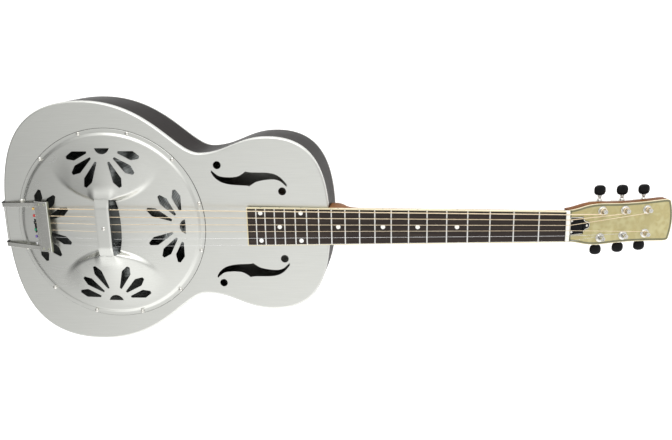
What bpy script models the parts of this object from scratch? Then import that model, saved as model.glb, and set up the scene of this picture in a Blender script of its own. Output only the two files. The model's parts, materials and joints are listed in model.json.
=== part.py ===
"""Single-cone resonator guitar, lying on its back.

Frame: metres, +Z up out of the face, +X from the saddle towards the headstock, +Y the bass side.
The origin lies on the flat outer face of the back, straight below the end of the scale length;
the saddle stands a few millimetres behind it, as compensation for the strings' stiffness.
The neck and the headstock lean back, so their pieces are parented to two tilted empties.
"""
from math import atan2, cos, hypot, pi, radians, sin

import bmesh
import bpy
from mathutils import Matrix, Vector

# ---------------------------------------------------------------- driving dimensions (metres)
GAP = 0.0003                    # clearance between touching pieces
SHEET = 0.001                   # body sheet thickness
BODY_DEPTH = 0.088              # outer face of the back to outer face of the top
TAIL_X = -0.1636                # tail end of the body
LOWER_X, LOWER_HALF = -0.0350, 0.1773       # widest place of the lower bout
WAIST_X, WAIST_HALF = 0.1323, 0.1028
UPPER_X, UPPER_HALF = 0.2281, 0.1251
HEEL_X = 0.3140                 # neck end of the body
TAIL_PULL, LOWER_REAR_PULL = 0.1092, 0.1001             # curve handles, tail end to lower bout
LOWER_FRONT_PULL, WAIST_REAR_PULL = 0.0979, 0.0352      # lower bout to waist
WAIST_FRONT_PULL, UPPER_REAR_PULL = 0.0392, 0.0406      # waist to upper bout
UPPER_FRONT_PULL, HEEL_PULL = 0.0652, 0.0801            # upper bout to neck end
EDGE_RADIUS = 0.003             # rolled edge of the top and the back
LIP_DEPTH = 0.007               # how far the rolled edge reaches down the sides

SCALE_LENGTH = 0.635            # saddle to nut
FRET_COUNT = 19
BOARD_START = 0.1985            # body-side end of the fingerboard
BOARD_THICK = 0.006
BOARD_HALF_NUT = 0.02026        # half width of the fingerboard at the nut, inside its binding
BOARD_HALF_12 = 0.0246          # the same at the 12th fret
BINDING = 0.0013
BOARD_OVER_TOP = 0.007          # fingerboard surface above the top plate at the 12th fret
NECK_TILT = radians(1.15)
NUT_LENGTH = 0.005
FRET_HEIGHT = 0.001
FRET_WIDTH = 0.0024

HEAD_TILT = radians(15.0)       # headstock face from the top plate
HEAD_STEP = 0.0045              # headstock face below the fingerboard surface, at the nut
HEAD_LENGTH = 0.153
HEAD_WOOD = 0.0145
OVERLAY = 0.0015
POST_PLACES = ((0.0490, 0.0189), (0.0825, 0.0177), (0.1152, 0.0168))
ROW_SHIFT = {1: -0.0013, -1: -0.0026}    # the two rows of tuners don't quite face each other
POST_RADIUS = 0.003
POST_TOP = 0.010
WORM_DROP = 0.022               # worm axis below the headstock face
WORM_OFFSET = 0.0068            # worm axis beyond its post
GEAR_TEETH = 14
GEAR_PITCH_RADIUS = 0.0046
BUTTON_REACH = 0.0237           # middle of a button beyond its post

COVER_X = -0.003                # centre of the cover plate, the cone and the saddle
COVER_RADIUS = 0.139
WELL_RADIUS = 0.124             # hole in the top plate
CONE_RADIUS = 0.1205
SADDLE_HEIGHT = 0.0188          # underside of the strings above the top plate, at the saddle

STRING_DIAMETERS = (0.00033, 0.00043, 0.00066, 0.00086, 0.00112, 0.00142)
BALL_SPREAD = (0.0515, 0.0)     # first to sixth string, and how far their middle lies off the centre line
SADDLE_SPREAD = (0.0545, -0.0006)
NUT_SPREAD = (0.0372, -0.0010)

TOP_Z = BODY_DEPTH
BOARD_SLOPE = (BOARD_HALF_12 - BOARD_HALF_NUT) / (SCALE_LENGTH / 2)


# ---------------------------------------------------------------- materials
def material(name, color, metallic, roughness):
    made = bpy.data.materials.new(name)
    made.use_nodes = True
    shader = made.node_tree.nodes["Principled BSDF"]
    shader.inputs["Base Color"].default_value = (*color, 1.0)
    shader.inputs["Metallic"].default_value = metallic
    shader.inputs["Roughness"].default_value = roughness
    made.diffuse_color = (*color, 1.0)
    return made


# ---------------------------------------------------------------- mesh helpers
def new_object(name, bm, parent=None, finish=None):
    """Turn a bmesh into a named object, placed by its parent."""
    bmesh.ops.recalc_face_normals(bm, faces=bm.faces)
    mesh = bpy.data.meshes.new(name)
    bm.to_mesh(mesh)
    bm.free()
    made = bpy.data.objects.new(name, mesh)
    bpy.context.scene.collection.objects.link(made)
    made.parent = parent
    if finish is not None:
        mesh.materials.append(finish)
    return made


def smooth(made, angle=35.0):
    made.data.shade_smooth()
    made.data.set_sharp_from_angle(angle=radians(angle))
    return made


def loft(rings, close_ends=True, close_loop=False):
    """Skin between rings of equal point count, each ring a closed loop of (x, y, z)."""
    bm = bmesh.new()
    rows = [[bm.verts.new(point) for point in ring] for ring in rings]
    count = len(rows[0])
    pairs = list(zip(rows, rows[1:]))
    if close_loop:
        pairs.append((rows[-1], rows[0]))
    for low, high in pairs:
        for i in range(count):
            j = (i + 1) % count
            bm.faces.new((low[i], low[j], high[j], high[i]))
    if close_ends and not close_loop:
        bm.faces.new(rows[0][::-1])
        bm.faces.new(rows[-1])
    return bm


def extruded(outline, low, high):
    """A flat outline of (x, y) points, extruded from z = low to z = high."""
    return loft([[(x, y, low) for x, y in outline], [(x, y, high) for x, y in outline]])


def swept_across(profile, half_low, half_high=None):
    """A side profile of (x, z) points, extruded across Y; half widths may follow x."""
    half_high = half_high or half_low
    return loft([[(x, -half_low(x), z) for x, z in profile], [(x, half_high(x), z) for x, z in profile]])


def turned(profile, sides, matrix=None, ring=False):
    """A profile of (radius, height) points turned about +Z; ring=True leaves a hole through it."""
    rings = [
        [(r * cos(2 * pi * i / sides), r * sin(2 * pi * i / sides), z) for i in range(sides)]
        for r, z in profile
    ]
    bm = loft(rings, close_ends=not ring, close_loop=ring)
    if matrix is not None:
        bm.transform(matrix)
    return bm


def block(low, high):
    """A box between two corners."""
    corners = [(low[0], low[1]), (high[0], low[1]), (high[0], high[1]), (low[0], high[1])]
    return extruded(corners, low[2], high[2])


def along(axis, location):
    """A matrix that carries +Z onto the given axis and the origin onto a location."""
    turn = Vector((0, 0, 1)).rotation_difference(Vector(axis))
    return Matrix.Translation(location) @ turn.to_matrix().to_4x4()


def tube(points, radius, sides, ball=None):
    """A round wire through the points, with an optional larger ball length at its start."""
    points = [Vector(p) for p in points]
    side = Vector((0, 0, 1))
    rings = []
    for i, point in enumerate(points):
        ahead = points[min(i + 1, len(points) - 1)] - points[max(i - 1, 0)]
        ahead.normalize()
        side = (side - ahead * side.dot(ahead)).normalized()
        other = ahead.cross(side)
        r = radius
        if ball is not None and i < len(ball):
            r = ball[i]
        rings.append([
            point + side * (r * cos(2 * pi * k / sides)) + other * (r * sin(2 * pi * k / sides))
            for k in range(sides)
        ])
    return loft(rings)


def boolean(target, tool, operation="DIFFERENCE"):
    """Cut the tool from the target, or join it on. The tool itself stays hidden."""
    tool.hide_render = True
    tool.display_type = "WIRE"
    modifier = target.modifiers.new(tool.name, "BOOLEAN")
    modifier.object = tool
    modifier.operation = operation
    modifier.solver = "EXACT"
    return target


# ---------------------------------------------------------------- body outline
def bezier(a, b, c, d, count):
    points = []
    for i in range(count):
        t = i / count
        s = 1 - t
        weights = (s ** 3, 3 * s * s * t, 3 * s * t * t, t ** 3)
        points.append(tuple(sum(w * p[k] for w, p in zip(weights, (a, b, c, d))) for k in (0, 1)))
    return points


def body_outline(count=8):
    """The plan of the body, counter-clockwise: the treble half, then its mirror image."""
    tail, heel = (TAIL_X, 0.0), (HEEL_X, 0.0)
    lower, waist, upper = (LOWER_X, LOWER_HALF), (WAIST_X, WAIST_HALF), (UPPER_X, UPPER_HALF)
    half = bezier(tail, (TAIL_X, TAIL_PULL), (LOWER_X - LOWER_REAR_PULL, LOWER_HALF), lower, count)
    half += bezier(lower, (LOWER_X + LOWER_FRONT_PULL, LOWER_HALF), (WAIST_X - WAIST_REAR_PULL, WAIST_HALF),
                   waist, count)
    half += bezier(waist, (WAIST_X + WAIST_FRONT_PULL, WAIST_HALF), (UPPER_X - UPPER_REAR_PULL, UPPER_HALF),
                   upper, count)
    half += bezier(upper, (UPPER_X + UPPER_FRONT_PULL, UPPER_HALF), (HEEL_X, HEEL_PULL), heel, count)
    half.append(heel)
    return [(x, -y) for x, y in half] + half[-2:0:-1]


def inset(outline, distance):
    """The outline moved inwards by a distance."""
    moved = []
    for i, (x, y) in enumerate(outline):
        before, after = outline[i - 1], outline[(i + 1) % len(outline)]
        dx, dy = after[0] - before[0], after[1] - before[1]
        length = hypot(dx, dy)
        moved.append((x - dy / length * distance, y + dx / length * distance))
    return moved


def body_ring(outline, distance, height):
    return [(x, y, height) for x, y in inset(outline, distance)]


# ---------------------------------------------------------------- body
def rolled_plate(name, outline, outer, inward, finish):
    """A flat sheet whose edge rolls over the sides; inward is +1 or -1 along Z."""
    bend = EDGE_RADIUS * (1 - cos(pi / 4))
    tight = EDGE_RADIUS - SHEET
    tight_bend = SHEET + tight * (1 - cos(pi / 4))
    profile = (
        (EDGE_RADIUS, 0.0), (bend, bend), (0.0, EDGE_RADIUS), (0.0, LIP_DEPTH),
        (SHEET, LIP_DEPTH), (SHEET, EDGE_RADIUS), (tight_bend, tight_bend), (EDGE_RADIUS, SHEET),
    )
    rings = [body_ring(outline, d, outer + inward * drop) for d, drop in profile]
    return new_object(name, loft(rings), finish=finish)


F_HOLE_SHIFT = 0.0009           # moves both outlines and their eyes towards the neck
F_HOLE_UPPER = ((0.149, 0.078), (0.153, 0.075), (0.160, 0.0705), (0.172, 0.069), (0.184, 0.0696),
                (0.191, 0.0725), (0.197, 0.077), (0.203, 0.076), (0.215, 0.0755), (0.228, 0.0752),
                (0.238, 0.073), (0.247, 0.0675), (0.2545, 0.058))
F_HOLE_LOWER = ((0.253, 0.0555), (0.250, 0.059), (0.245, 0.063), (0.237, 0.0655), (0.225, 0.065),
                (0.213, 0.063), (0.206, 0.059), (0.2015, 0.0562), (0.199, 0.057), (0.190, 0.0575),
                (0.175, 0.0585), (0.164, 0.061), (0.157, 0.065), (0.152, 0.070), (0.149, 0.076))
F_HOLE_EYES = ((0.157, 0.086), (0.2475, 0.049))
EYE_RADIUS = 0.0055


def make_body(metal):
    outline = body_outline()
    top = rolled_plate("body_top", outline, TOP_Z, -1, metal)
    rolled_plate("body_back", outline, 0.0, 1, metal)

    through = (TOP_Z - 0.01, TOP_Z + 0.01)
    well = turned(((WELL_RADIUS, through[0]), (WELL_RADIUS, through[1])), 48,
                  Matrix.Translation((COVER_X, 0, 0)))
    boolean(top, new_object("cut_cone_hole", well))
    for side, word in ((1, "bass"), (-1, "treble")):
        hole = [(x + F_HOLE_SHIFT, side * y) for x, y in F_HOLE_UPPER + F_HOLE_LOWER]
        boolean(top, new_object("cut_f_hole_" + word, extruded(hole, *through)))
        for number, (x, y) in enumerate(F_HOLE_EYES, 1):
            eye = turned(((EYE_RADIUS, through[0]), (EYE_RADIUS, through[1])), 12,
                         Matrix.Translation((x + F_HOLE_SHIFT, side * y, 0)))
            boolean(top, new_object("cut_eye_%s_%d" % (word, number), eye))

    wall_out, wall_in = SHEET + GAP, 2 * SHEET + GAP
    clear = 0.0024              # keeps the wall's edge clear of the rolled corners
    low, high = clear, TOP_Z - clear
    rings = [body_ring(outline, wall_out, low), body_ring(outline, wall_out, high),
             body_ring(outline, wall_in, high), body_ring(outline, wall_in, low)]
    sides = new_object("body_sides", loft(rings, close_loop=True), finish=metal)
    half, stick_low, stick_high = STICK_HALF + 0.001, STICK_LOW - 0.001, STICK_HIGH + 0.001
    slot = block((HEEL_X - 0.01, -half, stick_low), (HEEL_X + 0.01, half, stick_high))
    boolean(sides, new_object("cut_stick_slot", slot))


# ---------------------------------------------------------------- cone well, cone, biscuit, saddle
WELL_SHEET = 0.001
WELL_DROP = 0.033               # cone ledge below the top plate
CONE_RISE = 0.0265
BISCUIT_RADIUS = 0.027
BISCUIT_THICK = 0.0095
SADDLE_THICK = 0.005


def make_resonator(well_metal, cone_metal, wood, steel):
    under = TOP_Z - SHEET - GAP
    ledge = TOP_Z - WELL_DROP
    wall = WELL_RADIUS - 0.0005
    profile = ((wall + 0.0075, under), (wall + 0.0075, under - WELL_SHEET), (wall, under - WELL_SHEET),
               (wall, ledge - WELL_SHEET), (0.112, ledge - WELL_SHEET), (0.112, ledge),
               (wall - WELL_SHEET, ledge), (wall - WELL_SHEET, under))
    shift = Matrix.Translation((COVER_X, 0, 0))
    smooth(new_object("soundwell", turned(profile, 36, shift, ring=True), finish=well_metal))

    rim = ledge + GAP
    sheet = 0.0008
    dome = [(0.0035, rim + CONE_RISE)]
    for fraction in (0.25, 0.5, 0.75, 1.0):
        radius = 0.108 * fraction
        dome.append((radius, rim + CONE_RISE * (1 - fraction ** 1.35) + 0.0008))
    dome += [(0.114, rim + sheet + 0.0004), (CONE_RADIUS, rim + sheet)]
    under_side = [(r, z - sheet) for r, z in reversed(dome)]
    shape = turned(dome + under_side, 30, shift, ring=True)
    smooth(new_object("resonator_cone", shape, finish=cone_metal))

    seat = rim + CONE_RISE + 0.0008 + GAP
    biscuit = turned(((BISCUIT_RADIUS - 0.001, seat), (BISCUIT_RADIUS, seat + 0.001),
                      (BISCUIT_RADIUS, seat + BISCUIT_THICK - 0.001),
                      (BISCUIT_RADIUS - 0.001, seat + BISCUIT_THICK)),
                     24, shift)
    biscuit = smooth(new_object("biscuit", biscuit, finish=wood))
    bore = turned(((0.0022, seat - 0.01), (0.0022, seat + 0.03)), 10, shift)
    boolean(biscuit, new_object("cut_biscuit_bore", bore))

    screw_profile = ((0.0045, seat - 0.0055), (0.0045, seat - 0.0036), (0.0018, seat - 0.0032),
                     (0.0018, seat + BISCUIT_THICK - 0.001))
    smooth(new_object("biscuit_screw", turned(screw_profile, 10, shift), finish=steel))
    make_saddle(seat + BISCUIT_THICK + GAP, wood)


def notched_bar(spread, top, bottom, half_width, depth):
    """The end view of a nut or a saddle: a bar with a notch under each string, as (y, z) points."""
    points = [(-half_width, bottom), (-half_width, top)]
    for number in range(1, 7):
        y = string_y(number, spread)
        radius = STRING_DIAMETERS[number - 1] / 2
        reach = radius + GAP
        points += [(y - reach - 0.0003, top), (y - reach, top - depth), (y + reach, top - depth),
                   (y + reach + 0.0003, top)]
    return points + [(half_width, top), (half_width, bottom)]


def make_saddle(bottom, wood):
    top = TOP_Z + SADDLE_HEIGHT + 0.0004
    view = notched_bar(SADDLE_SPREAD, top, bottom, SADDLE_SPREAD[0] / 2 + 0.003, 0.0007)
    half = SADDLE_THICK / 2
    rings = [[(x, y, z) for y, z in view] for x in (COVER_X - half, COVER_X + half)]
    new_object("saddle", loft(rings), finish=wood)


# ---------------------------------------------------------------- cover plate
COVER_SHEET = 0.001
STEP_OUT, STEP_IN = 0.1335, 0.1280
LOBE_Y, LOBE_RADIUS = 0.1307, 0.0952
FAN_SHIFT = (-0.0013, -0.0010)  # middle of the four fans from the middle of the cover plate
FAN_REACH = 0.1128              # fan centres from their middle
PETALS = ((25.5, 0.0210, 0.0600), (51.5, 0.0215, 0.0575), (76.0, 0.0235, 0.0550))    # lean, start and tip
STRAP_X, STRAP_WIDTH, STRAP_HEIGHT = -0.0058, 0.0196, 0.024
STRAP_HALF = 0.047
SLOT_HALF = 0.042


def ease(value):
    value = min(max(value, 0.0), 1.0)
    return value * value * (3 - 2 * value)


def cover_height(x, y):
    """Outer surface of the cover plate above the top plate, x measured from the plate's centre."""
    r = hypot(x, y)
    low = COVER_SHEET + GAP
    if r >= STEP_OUT:
        return low
    if r >= STEP_IN:
        return low + 0.0025 * (STEP_OUT - r) / (STEP_OUT - STEP_IN)
    height = low + 0.0025 + 0.0046 * (1 - (r / STEP_IN) ** 2)
    side = abs(y)
    inside = LOBE_RADIUS - hypot(x, side - LOBE_Y)
    rise = 0.0122 * max(1 - hypot(x, side - 0.0345) / 0.088, 0.0) ** 1.6
    return height + rise * ease(inside / 0.0075)


def arch_height(y):
    """Top of the palm rest: flat in the middle, then sloping to the lobes."""
    beyond = max(abs(y) - 0.0265, 0.0)
    bend = min(beyond, 0.004)
    return STRAP_HEIGHT - 0.30 * (bend * bend / 0.008 + beyond - bend)


def petal(angle, centre, start, tip):
    """One slot of a fan: a long kite with a blunt tip, pointing away from the fan's centre."""
    half = ((start, 0.0015), (tip - 0.0105, 0.0065), (tip, 0.0020))
    points = [(d, -w) for d, w in half] + [(d, w) for d, w in reversed(half)]
    return [(centre[0] + d * cos(angle) - w * sin(angle), centre[1] + d * sin(angle) + w * cos(angle))
            for d, w in points]


def pressed_sheet(rings, sheet):
    """A closed sheet: rings of (x, y, z) from the middle outwards, and the same rings one thickness lower."""
    bm = bmesh.new()
    top = [[bm.verts.new(point) for point in ring] for ring in rings]
    under = [[bm.verts.new((x, y, z - sheet)) for x, y, z in ring] for ring in rings]
    pairs = [(i, (i + 1) % len(rings[0])) for i in range(len(rings[0]))]
    for rows, order in ((top, 1), (under, -1)):
        bm.faces.new(rows[0][::order])
        for inner, outer in zip(rows, rows[1:]):
            for i, j in pairs:
                bm.faces.new((inner[i], outer[i], outer[j])[::order])
                bm.faces.new((inner[i], outer[j], inner[j])[::order])
    for i, j in pairs:
        bm.faces.new((top[-1][i], under[-1][i], under[-1][j], top[-1][j]))
    return bm


def make_cover(metal):
    rings = []
    sides = 44
    for r in (0.022, 0.034, 0.043, 0.054, 0.068, 0.086, 0.106, STEP_IN, STEP_OUT, COVER_RADIUS):
        points = [(r * cos(2 * pi * i / sides), r * sin(2 * pi * i / sides)) for i in range(sides)]
        rings.append([(x + COVER_X, y, TOP_Z + cover_height(x, y)) for x, y in points])
    cover = new_object("cover_plate", pressed_sheet(rings, COVER_SHEET), finish=metal)

    low, high = TOP_Z - 0.01, TOP_Z + 0.04
    bulge = [(0.010 * cos(radians(t)) + 0.004, SLOT_HALF * sin(radians(t))) for t in range(-80, 81, 20)]
    slot = [(-0.0170, -SLOT_HALF), (0.004, -SLOT_HALF)] + bulge + [(0.004, SLOT_HALF), (-0.0170, SLOT_HALF)]
    boolean(cover, new_object("cut_string_slot", extruded(slot, low, high)))
    for number, turn in enumerate((0, 90, 180, 270)):
        away = radians(turn)
        centre = (COVER_X + FAN_SHIFT[0] + FAN_REACH * cos(away), FAN_SHIFT[1] + FAN_REACH * sin(away))
        middle = (centre[0] + 0.0027 * cos(away), centre[1] + 0.0027 * sin(away))
        half_disc = [(middle[0] + 0.0111 * cos(away + radians(t)),
                      middle[1] + 0.0111 * sin(away + radians(t)))
                     for t in range(104, 257, 38)]
        boolean(cover, new_object("cut_half_disc_%d" % number, extruded(half_disc, low, high)))
        for index, (lean, start, tip) in enumerate(PETALS):
            for side in (1, -1):
                kite = petal(away + pi + side * radians(lean), centre, start, tip)
                tool = "cut_petal_%d_%d_%s" % (number, index, "left" if side > 0 else "right")
                boolean(cover, new_object(tool, extruded(kite, low, high)))

    arch = []
    for y in (-STRAP_HALF, -0.036, -0.0285, -0.0265, 0.0265, 0.0285, 0.036, STRAP_HALF):
        arch.append((y, TOP_Z + arch_height(y)))
    lower_arch = [(y, z - 0.0013) for y, z in reversed(arch)]
    edge = STRAP_WIDTH / 2
    rings = [[(STRAP_X + x, y, z) for y, z in arch + lower_arch] for x in (-edge, edge)]
    boolean(cover, new_object("join_palm_rest", loft(rings)), "UNION")
    return cover


# ---------------------------------------------------------------- strings
def string_y(number, spread):
    """Sideways place of a string, the first (thinnest) on the treble side."""
    width, shift = spread
    return width * ((number - 1) / 5 - 0.5) + shift


def tuner_places():
    """String number of each tuner with its post's place and side on the headstock."""
    places = {}
    for row, (x, y) in enumerate(POST_PLACES):
        places[6 - row] = (x + ROW_SHIFT[1], y, 1)
        places[1 + row] = (x + ROW_SHIFT[-1], -y, -1)
    return places


BALL_X, BALL_Z = -0.1134, 0.0100
BALL_RADIUS = 0.0019


def make_strings(neck, head, bronze, steel):
    for number, (post_x, post_y, side) in sorted(tuner_places().items()):
        diameter = STRING_DIAMETERS[number - 1]
        radius = diameter / 2
        ball_y = string_y(number, BALL_SPREAD)
        start = Vector((BALL_X, ball_y, TOP_Z + BALL_Z))
        crown = Vector((COVER_X, string_y(number, SADDLE_SPREAD), TOP_Z + SADDLE_HEIGHT + radius))
        nut_y = string_y(number, NUT_SPREAD)
        nut = neck @ Vector((SCALE_LENGTH + NUT_LENGTH / 2, nut_y, 0.0012 + radius))
        bend = neck @ Vector((SCALE_LENGTH - 0.001, nut_y, 0.0012 + radius))
        leave = neck @ Vector((SCALE_LENGTH + NUT_LENGTH + 0.001, nut_y, 0.0008 + radius))
        wind = POST_RADIUS + GAP + radius
        turns = 2
        sides = 8
        pitch = diameter + 0.00015
        high = 0.0024 + radius + pitch * turns
        coil = []
        for i in range(sides * turns + 1):
            angle = side * (2 * pi * i / sides - pi / 2)
            coil.append(head @ Vector((post_x + wind * cos(angle), post_y + wind * sin(angle),
                                       high - pitch * i / sides)))
        toward = (crown - start).normalized()
        ball = (BALL_RADIUS, BALL_RADIUS, radius)
        line = [start - toward * 0.0019, start + toward * 0.0019, start + toward * 0.0020, crown]
        line += [bend, nut, leave] + coil
        metal = bronze if number > 2 else steel
        smooth(new_object("string_%d" % number, tube(line, radius, 6, ball), finish=metal), 60.0)


# ---------------------------------------------------------------- tailpiece
PLATE_HALF = 0.037
PLATE_SHEET = 0.0015
PLATE_FRONT = (-0.0872, 0.0193)
PLATE_REAR = (-0.1095, 0.0140)
FOLD_DEPTH = 0.0042
REAR_LIP = 0.0062
ARM_HALF = 0.0032
ARM_FRONT_Y, ARM_TAIL_Y = 0.0330, 0.0295
PIN_X, PIN_DROP, PIN_RADIUS = -0.1680, 0.0125, 0.0014
KNUCKLE = 0.0031
PLATE_X = -0.1639               # inner face of the bracket plate
BUTTON_RISE = 0.044


def make_tailpiece(nickel):
    front_x, front_z = PLATE_FRONT
    rear_x, rear_z = PLATE_REAR
    t = PLATE_SHEET
    profile = [(front_x, front_z - FOLD_DEPTH), (front_x, front_z),
               (rear_x, rear_z), (rear_x, rear_z - REAR_LIP),
               (rear_x + t, rear_z - REAR_LIP), (rear_x + t, rear_z - t), (front_x - t, front_z - t),
               (front_x - t, front_z - FOLD_DEPTH)]
    plate = swept_across([(x, TOP_Z + z) for x, z in profile], lambda x: PLATE_HALF)
    tailpiece = new_object("tailpiece", plate, finish=nickel)
    for number in range(1, 7):
        y = string_y(number, BALL_SPREAD)
        half = STRING_DIAMETERS[number - 1] / 2 + 0.0004
        slot = block((rear_x - 0.001, y - half, TOP_Z + 0.005),
                     (rear_x + 2 * t, y + half, TOP_Z + rear_z - t - 0.0002))
        boolean(tailpiece, new_object("cut_string_notch_%d" % number, slot))
    for side, word in ((1, "bass"), (-1, "treble")):
        boolean(tailpiece, new_object("join_arm_" + word, arm(side)), "UNION")
        round_end = new_object("join_arm_knuckle_" + word, knuckle(side * ARM_TAIL_Y, ARM_HALF))
        boolean(tailpiece, round_end, "UNION")
    across = along((0, 1, 0), (PIN_X, 0, TOP_Z - PIN_DROP))
    bore = turned(((PIN_RADIUS + GAP, -0.05), (PIN_RADIUS + GAP, 0.05)), 12, across)
    boolean(tailpiece, new_object("cut_arm_bores", bore))
    pin = turned(((PIN_RADIUS, -0.0345), (PIN_RADIUS, 0.0345)), 12, across)
    smooth(new_object("tailpiece_hinge_pin", pin, finish=nickel))


def knuckle(y, half):
    place = along((0, 1, 0), (PIN_X, y, TOP_Z - PIN_DROP))
    return turned(((KNUCKLE, -half), (KNUCKLE, half)), 14, place)


def arm(side):
    """A flat strap from the plate over the rolled edge of the top, down to the hinge pin."""
    centre_line = ((-0.0900, 0.0180), (-0.1095, 0.0133), (-0.1400, 0.0075), (-0.1605, 0.0034),
                   (-0.1650, 0.0012), (-0.1670, -0.0030), (-0.1676, -0.0105))
    rings = []
    half_sheet = 0.0008
    for i, (x, z) in enumerate(centre_line):
        before, after = centre_line[max(i - 1, 0)], centre_line[min(i + 1, len(centre_line) - 1)]
        dx, dz = after[0] - before[0], after[1] - before[1]
        length = hypot(dx, dz)
        nx, nz = -dz / length * half_sheet, dx / length * half_sheet
        share = min(1.0, (centre_line[0][0] - x) / 0.074)
        y = side * (ARM_FRONT_Y + (ARM_TAIL_Y - ARM_FRONT_Y) * share)
        rings.append([(x + nx, y - ARM_HALF, TOP_Z + z + nz), (x + nx, y + ARM_HALF, TOP_Z + z + nz),
                      (x - nx, y + ARM_HALF, TOP_Z + z - nz), (x - nx, y - ARM_HALF, TOP_Z + z - nz)])
    return loft(rings)


def make_bracket(nickel):
    """The plate screwed to the tail of the body; its knuckle carries the hinge pin."""
    half = 0.0255
    plate = block((PLATE_X - PLATE_SHEET, -half, TOP_Z - 0.062), (PLATE_X, half, TOP_Z - PIN_DROP))
    bracket = new_object("tailpiece_bracket", plate, finish=nickel)
    boolean(bracket, new_object("join_bracket_knuckle", knuckle(0, half)), "UNION")
    across = along((0, 1, 0), (PIN_X, 0, TOP_Z - PIN_DROP))
    bore = turned(((PIN_RADIUS + GAP, -0.05), (PIN_RADIUS + GAP, 0.05)), 12, across)
    boolean(bracket, new_object("cut_bracket_bore", bore))

    away = along((-1, 0, 0), (PLATE_X - PLATE_SHEET - GAP, 0, BUTTON_RISE))
    profile = ((0.0058, 0.0), (0.0042, 0.0030), (0.0042, 0.0055),
               (0.0072, 0.0085), (0.0070, 0.0105), (0.0050, 0.0115))
    smooth(new_object("strap_button", turned(profile, 20, away), finish=nickel))


# ---------------------------------------------------------------- neck
STICK_HALF, STICK_LOW, STICK_HIGH = 0.015, 0.018, 0.050
HEEL_DROP = 0.066               # heel cap below the fingerboard plane
ROD_HALF, ROD_LOW, ROD_HIGH, ROD_AXIS = 0.0025, -0.0165, -0.0100, -0.0135


def board_half(x):
    """Half width of the fingerboard inside its binding, x measured from the saddle."""
    return BOARD_HALF_NUT + (SCALE_LENGTH - x) * BOARD_SLOPE


def fret_x(number):
    return SCALE_LENGTH * 2 ** (-number / 12)


def neck_section(x, half, top, depth, squareness, points=9):
    """A flat-topped half oval across the neck."""
    ring = []
    for i in range(points):
        angle = pi * i / (points - 1)
        c, s = cos(angle), sin(angle)
        y = half * (abs(c) ** squareness) * (1 if c >= 0 else -1)
        ring.append((x, y, top - 0.002 - (depth - 0.002) * s ** squareness))
    return [(x, -half, top), (x, half, top)] + ring


def head_outline(grow=0.0):
    """Plan of the headstock face, x from the nut; grow widens it."""
    half = ((-0.006, 0.0218), (0.004, 0.0224), (0.022, 0.0262), (0.036, 0.0285), (0.046, 0.0288),
            (0.072, 0.0275), (0.104, 0.0278), (0.132, 0.0292), (0.1440, 0.0296), (0.1478, 0.0280))
    tip = ((HEAD_LENGTH - 0.0018, 0.0150), (HEAD_LENGTH, 0.0))
    right = [(x + (grow if x > 0.14 else 0.0), -(y + grow)) for x, y in half]
    right += [(x + grow, -y) for x, y in tip]
    return right + [(x, -y) for x, y in right[-2::-1]]


def make_neck(neck, head, mahogany, steel):
    wood = -BOARD_THICK - GAP
    heel_face = HEEL_X - 0.002  # trimmed square to the body below
    sections = ((heel_face, 0.0258, HEEL_DROP, 0.60), (heel_face + 0.012, 0.0258, HEEL_DROP - 0.001, 0.70),
                (heel_face + 0.022, 0.0257, 0.045, 0.80), (heel_face + 0.032, 0.0255, 0.027, 0.90),
                (heel_face + 0.045, 0.0253, 0.0190, 0.95), (heel_face + 0.075, 0.0248, 0.0168, 0.95),
                (0.500, 0.0234, 0.0156, 0.95), (0.610, 0.0219, 0.0145, 0.95), (0.6403, 0.0217, 0.0145, 0.95))
    rings = [neck_section(x, half, wood, depth, shape) for x, half, depth, shape in sections]
    shaft = smooth(new_object("neck", loft(rings), neck, mahogany), 50.0)

    low, high = -OVERLAY - GAP - HEAD_WOOD, -OVERLAY - GAP
    boolean(shaft, new_object("join_headstock", extruded(head_outline(), low, high), head), "UNION")
    shelf = block((0.600, -0.05, wood), (SCALE_LENGTH + NUT_LENGTH + GAP, 0.05, 0.02))
    boolean(shaft, new_object("cut_nut_shelf", shelf, neck))
    heel_trim = block((HEEL_X - 0.03, -0.05, -0.01), (HEEL_X + GAP, 0.05, TOP_Z + 0.03))
    boolean(shaft, new_object("cut_heel_face", heel_trim))
    channel = block((heel_face + 0.02, -0.0032, ROD_LOW - GAP), (0.6450, 0.0032, wood + 0.005))
    boolean(shaft, new_object("cut_rod_channel", channel, neck))
    pocket = block((0.6415, -0.0048, -0.0185), (0.6605, 0.0048, 0.004))
    boolean(shaft, new_object("cut_rod_pocket", pocket, neck))
    for number, (x, y, _side) in tuner_places().items():
        hole = turned(((0.0050, low - 0.01), (0.0050, high + 0.01)), 12, Matrix.Translation((x, y, 0)))
        boolean(shaft, new_object("cut_post_hole_%d" % number, hole, head))

    stick = block((TAIL_X + 0.0045, -STICK_HALF, STICK_LOW), (HEEL_X + 0.0001, STICK_HALF, STICK_HIGH))
    new_object("neck_stick", stick, finish=mahogany)

    bar = block((heel_face + 0.022, -ROD_HALF, ROD_LOW), (0.6412, ROD_HALF, ROD_HIGH))
    rod = new_object("truss_rod", bar, neck, steel)
    end = turned(((0.0019, -0.004), (0.0019, 0.0150)), 10, along((1, 0, 0), (0.6412, 0, ROD_AXIS)))
    boolean(rod, new_object("join_rod_end", end, neck), "UNION")


def make_rod_nut(neck_matrix, brass):
    """The adjusting nut, its origin on the rod's axis."""
    nut = turned(((0.0036, -0.004), (0.0036, 0.004), (0.0022, 0.004), (0.0022, -0.004)), 6, ring=True)
    made = new_object("truss_rod_nut", nut, finish=brass)
    made.matrix_world = neck_matrix @ along((1, 0, 0), (0.6480, 0, ROD_AXIS))


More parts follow.
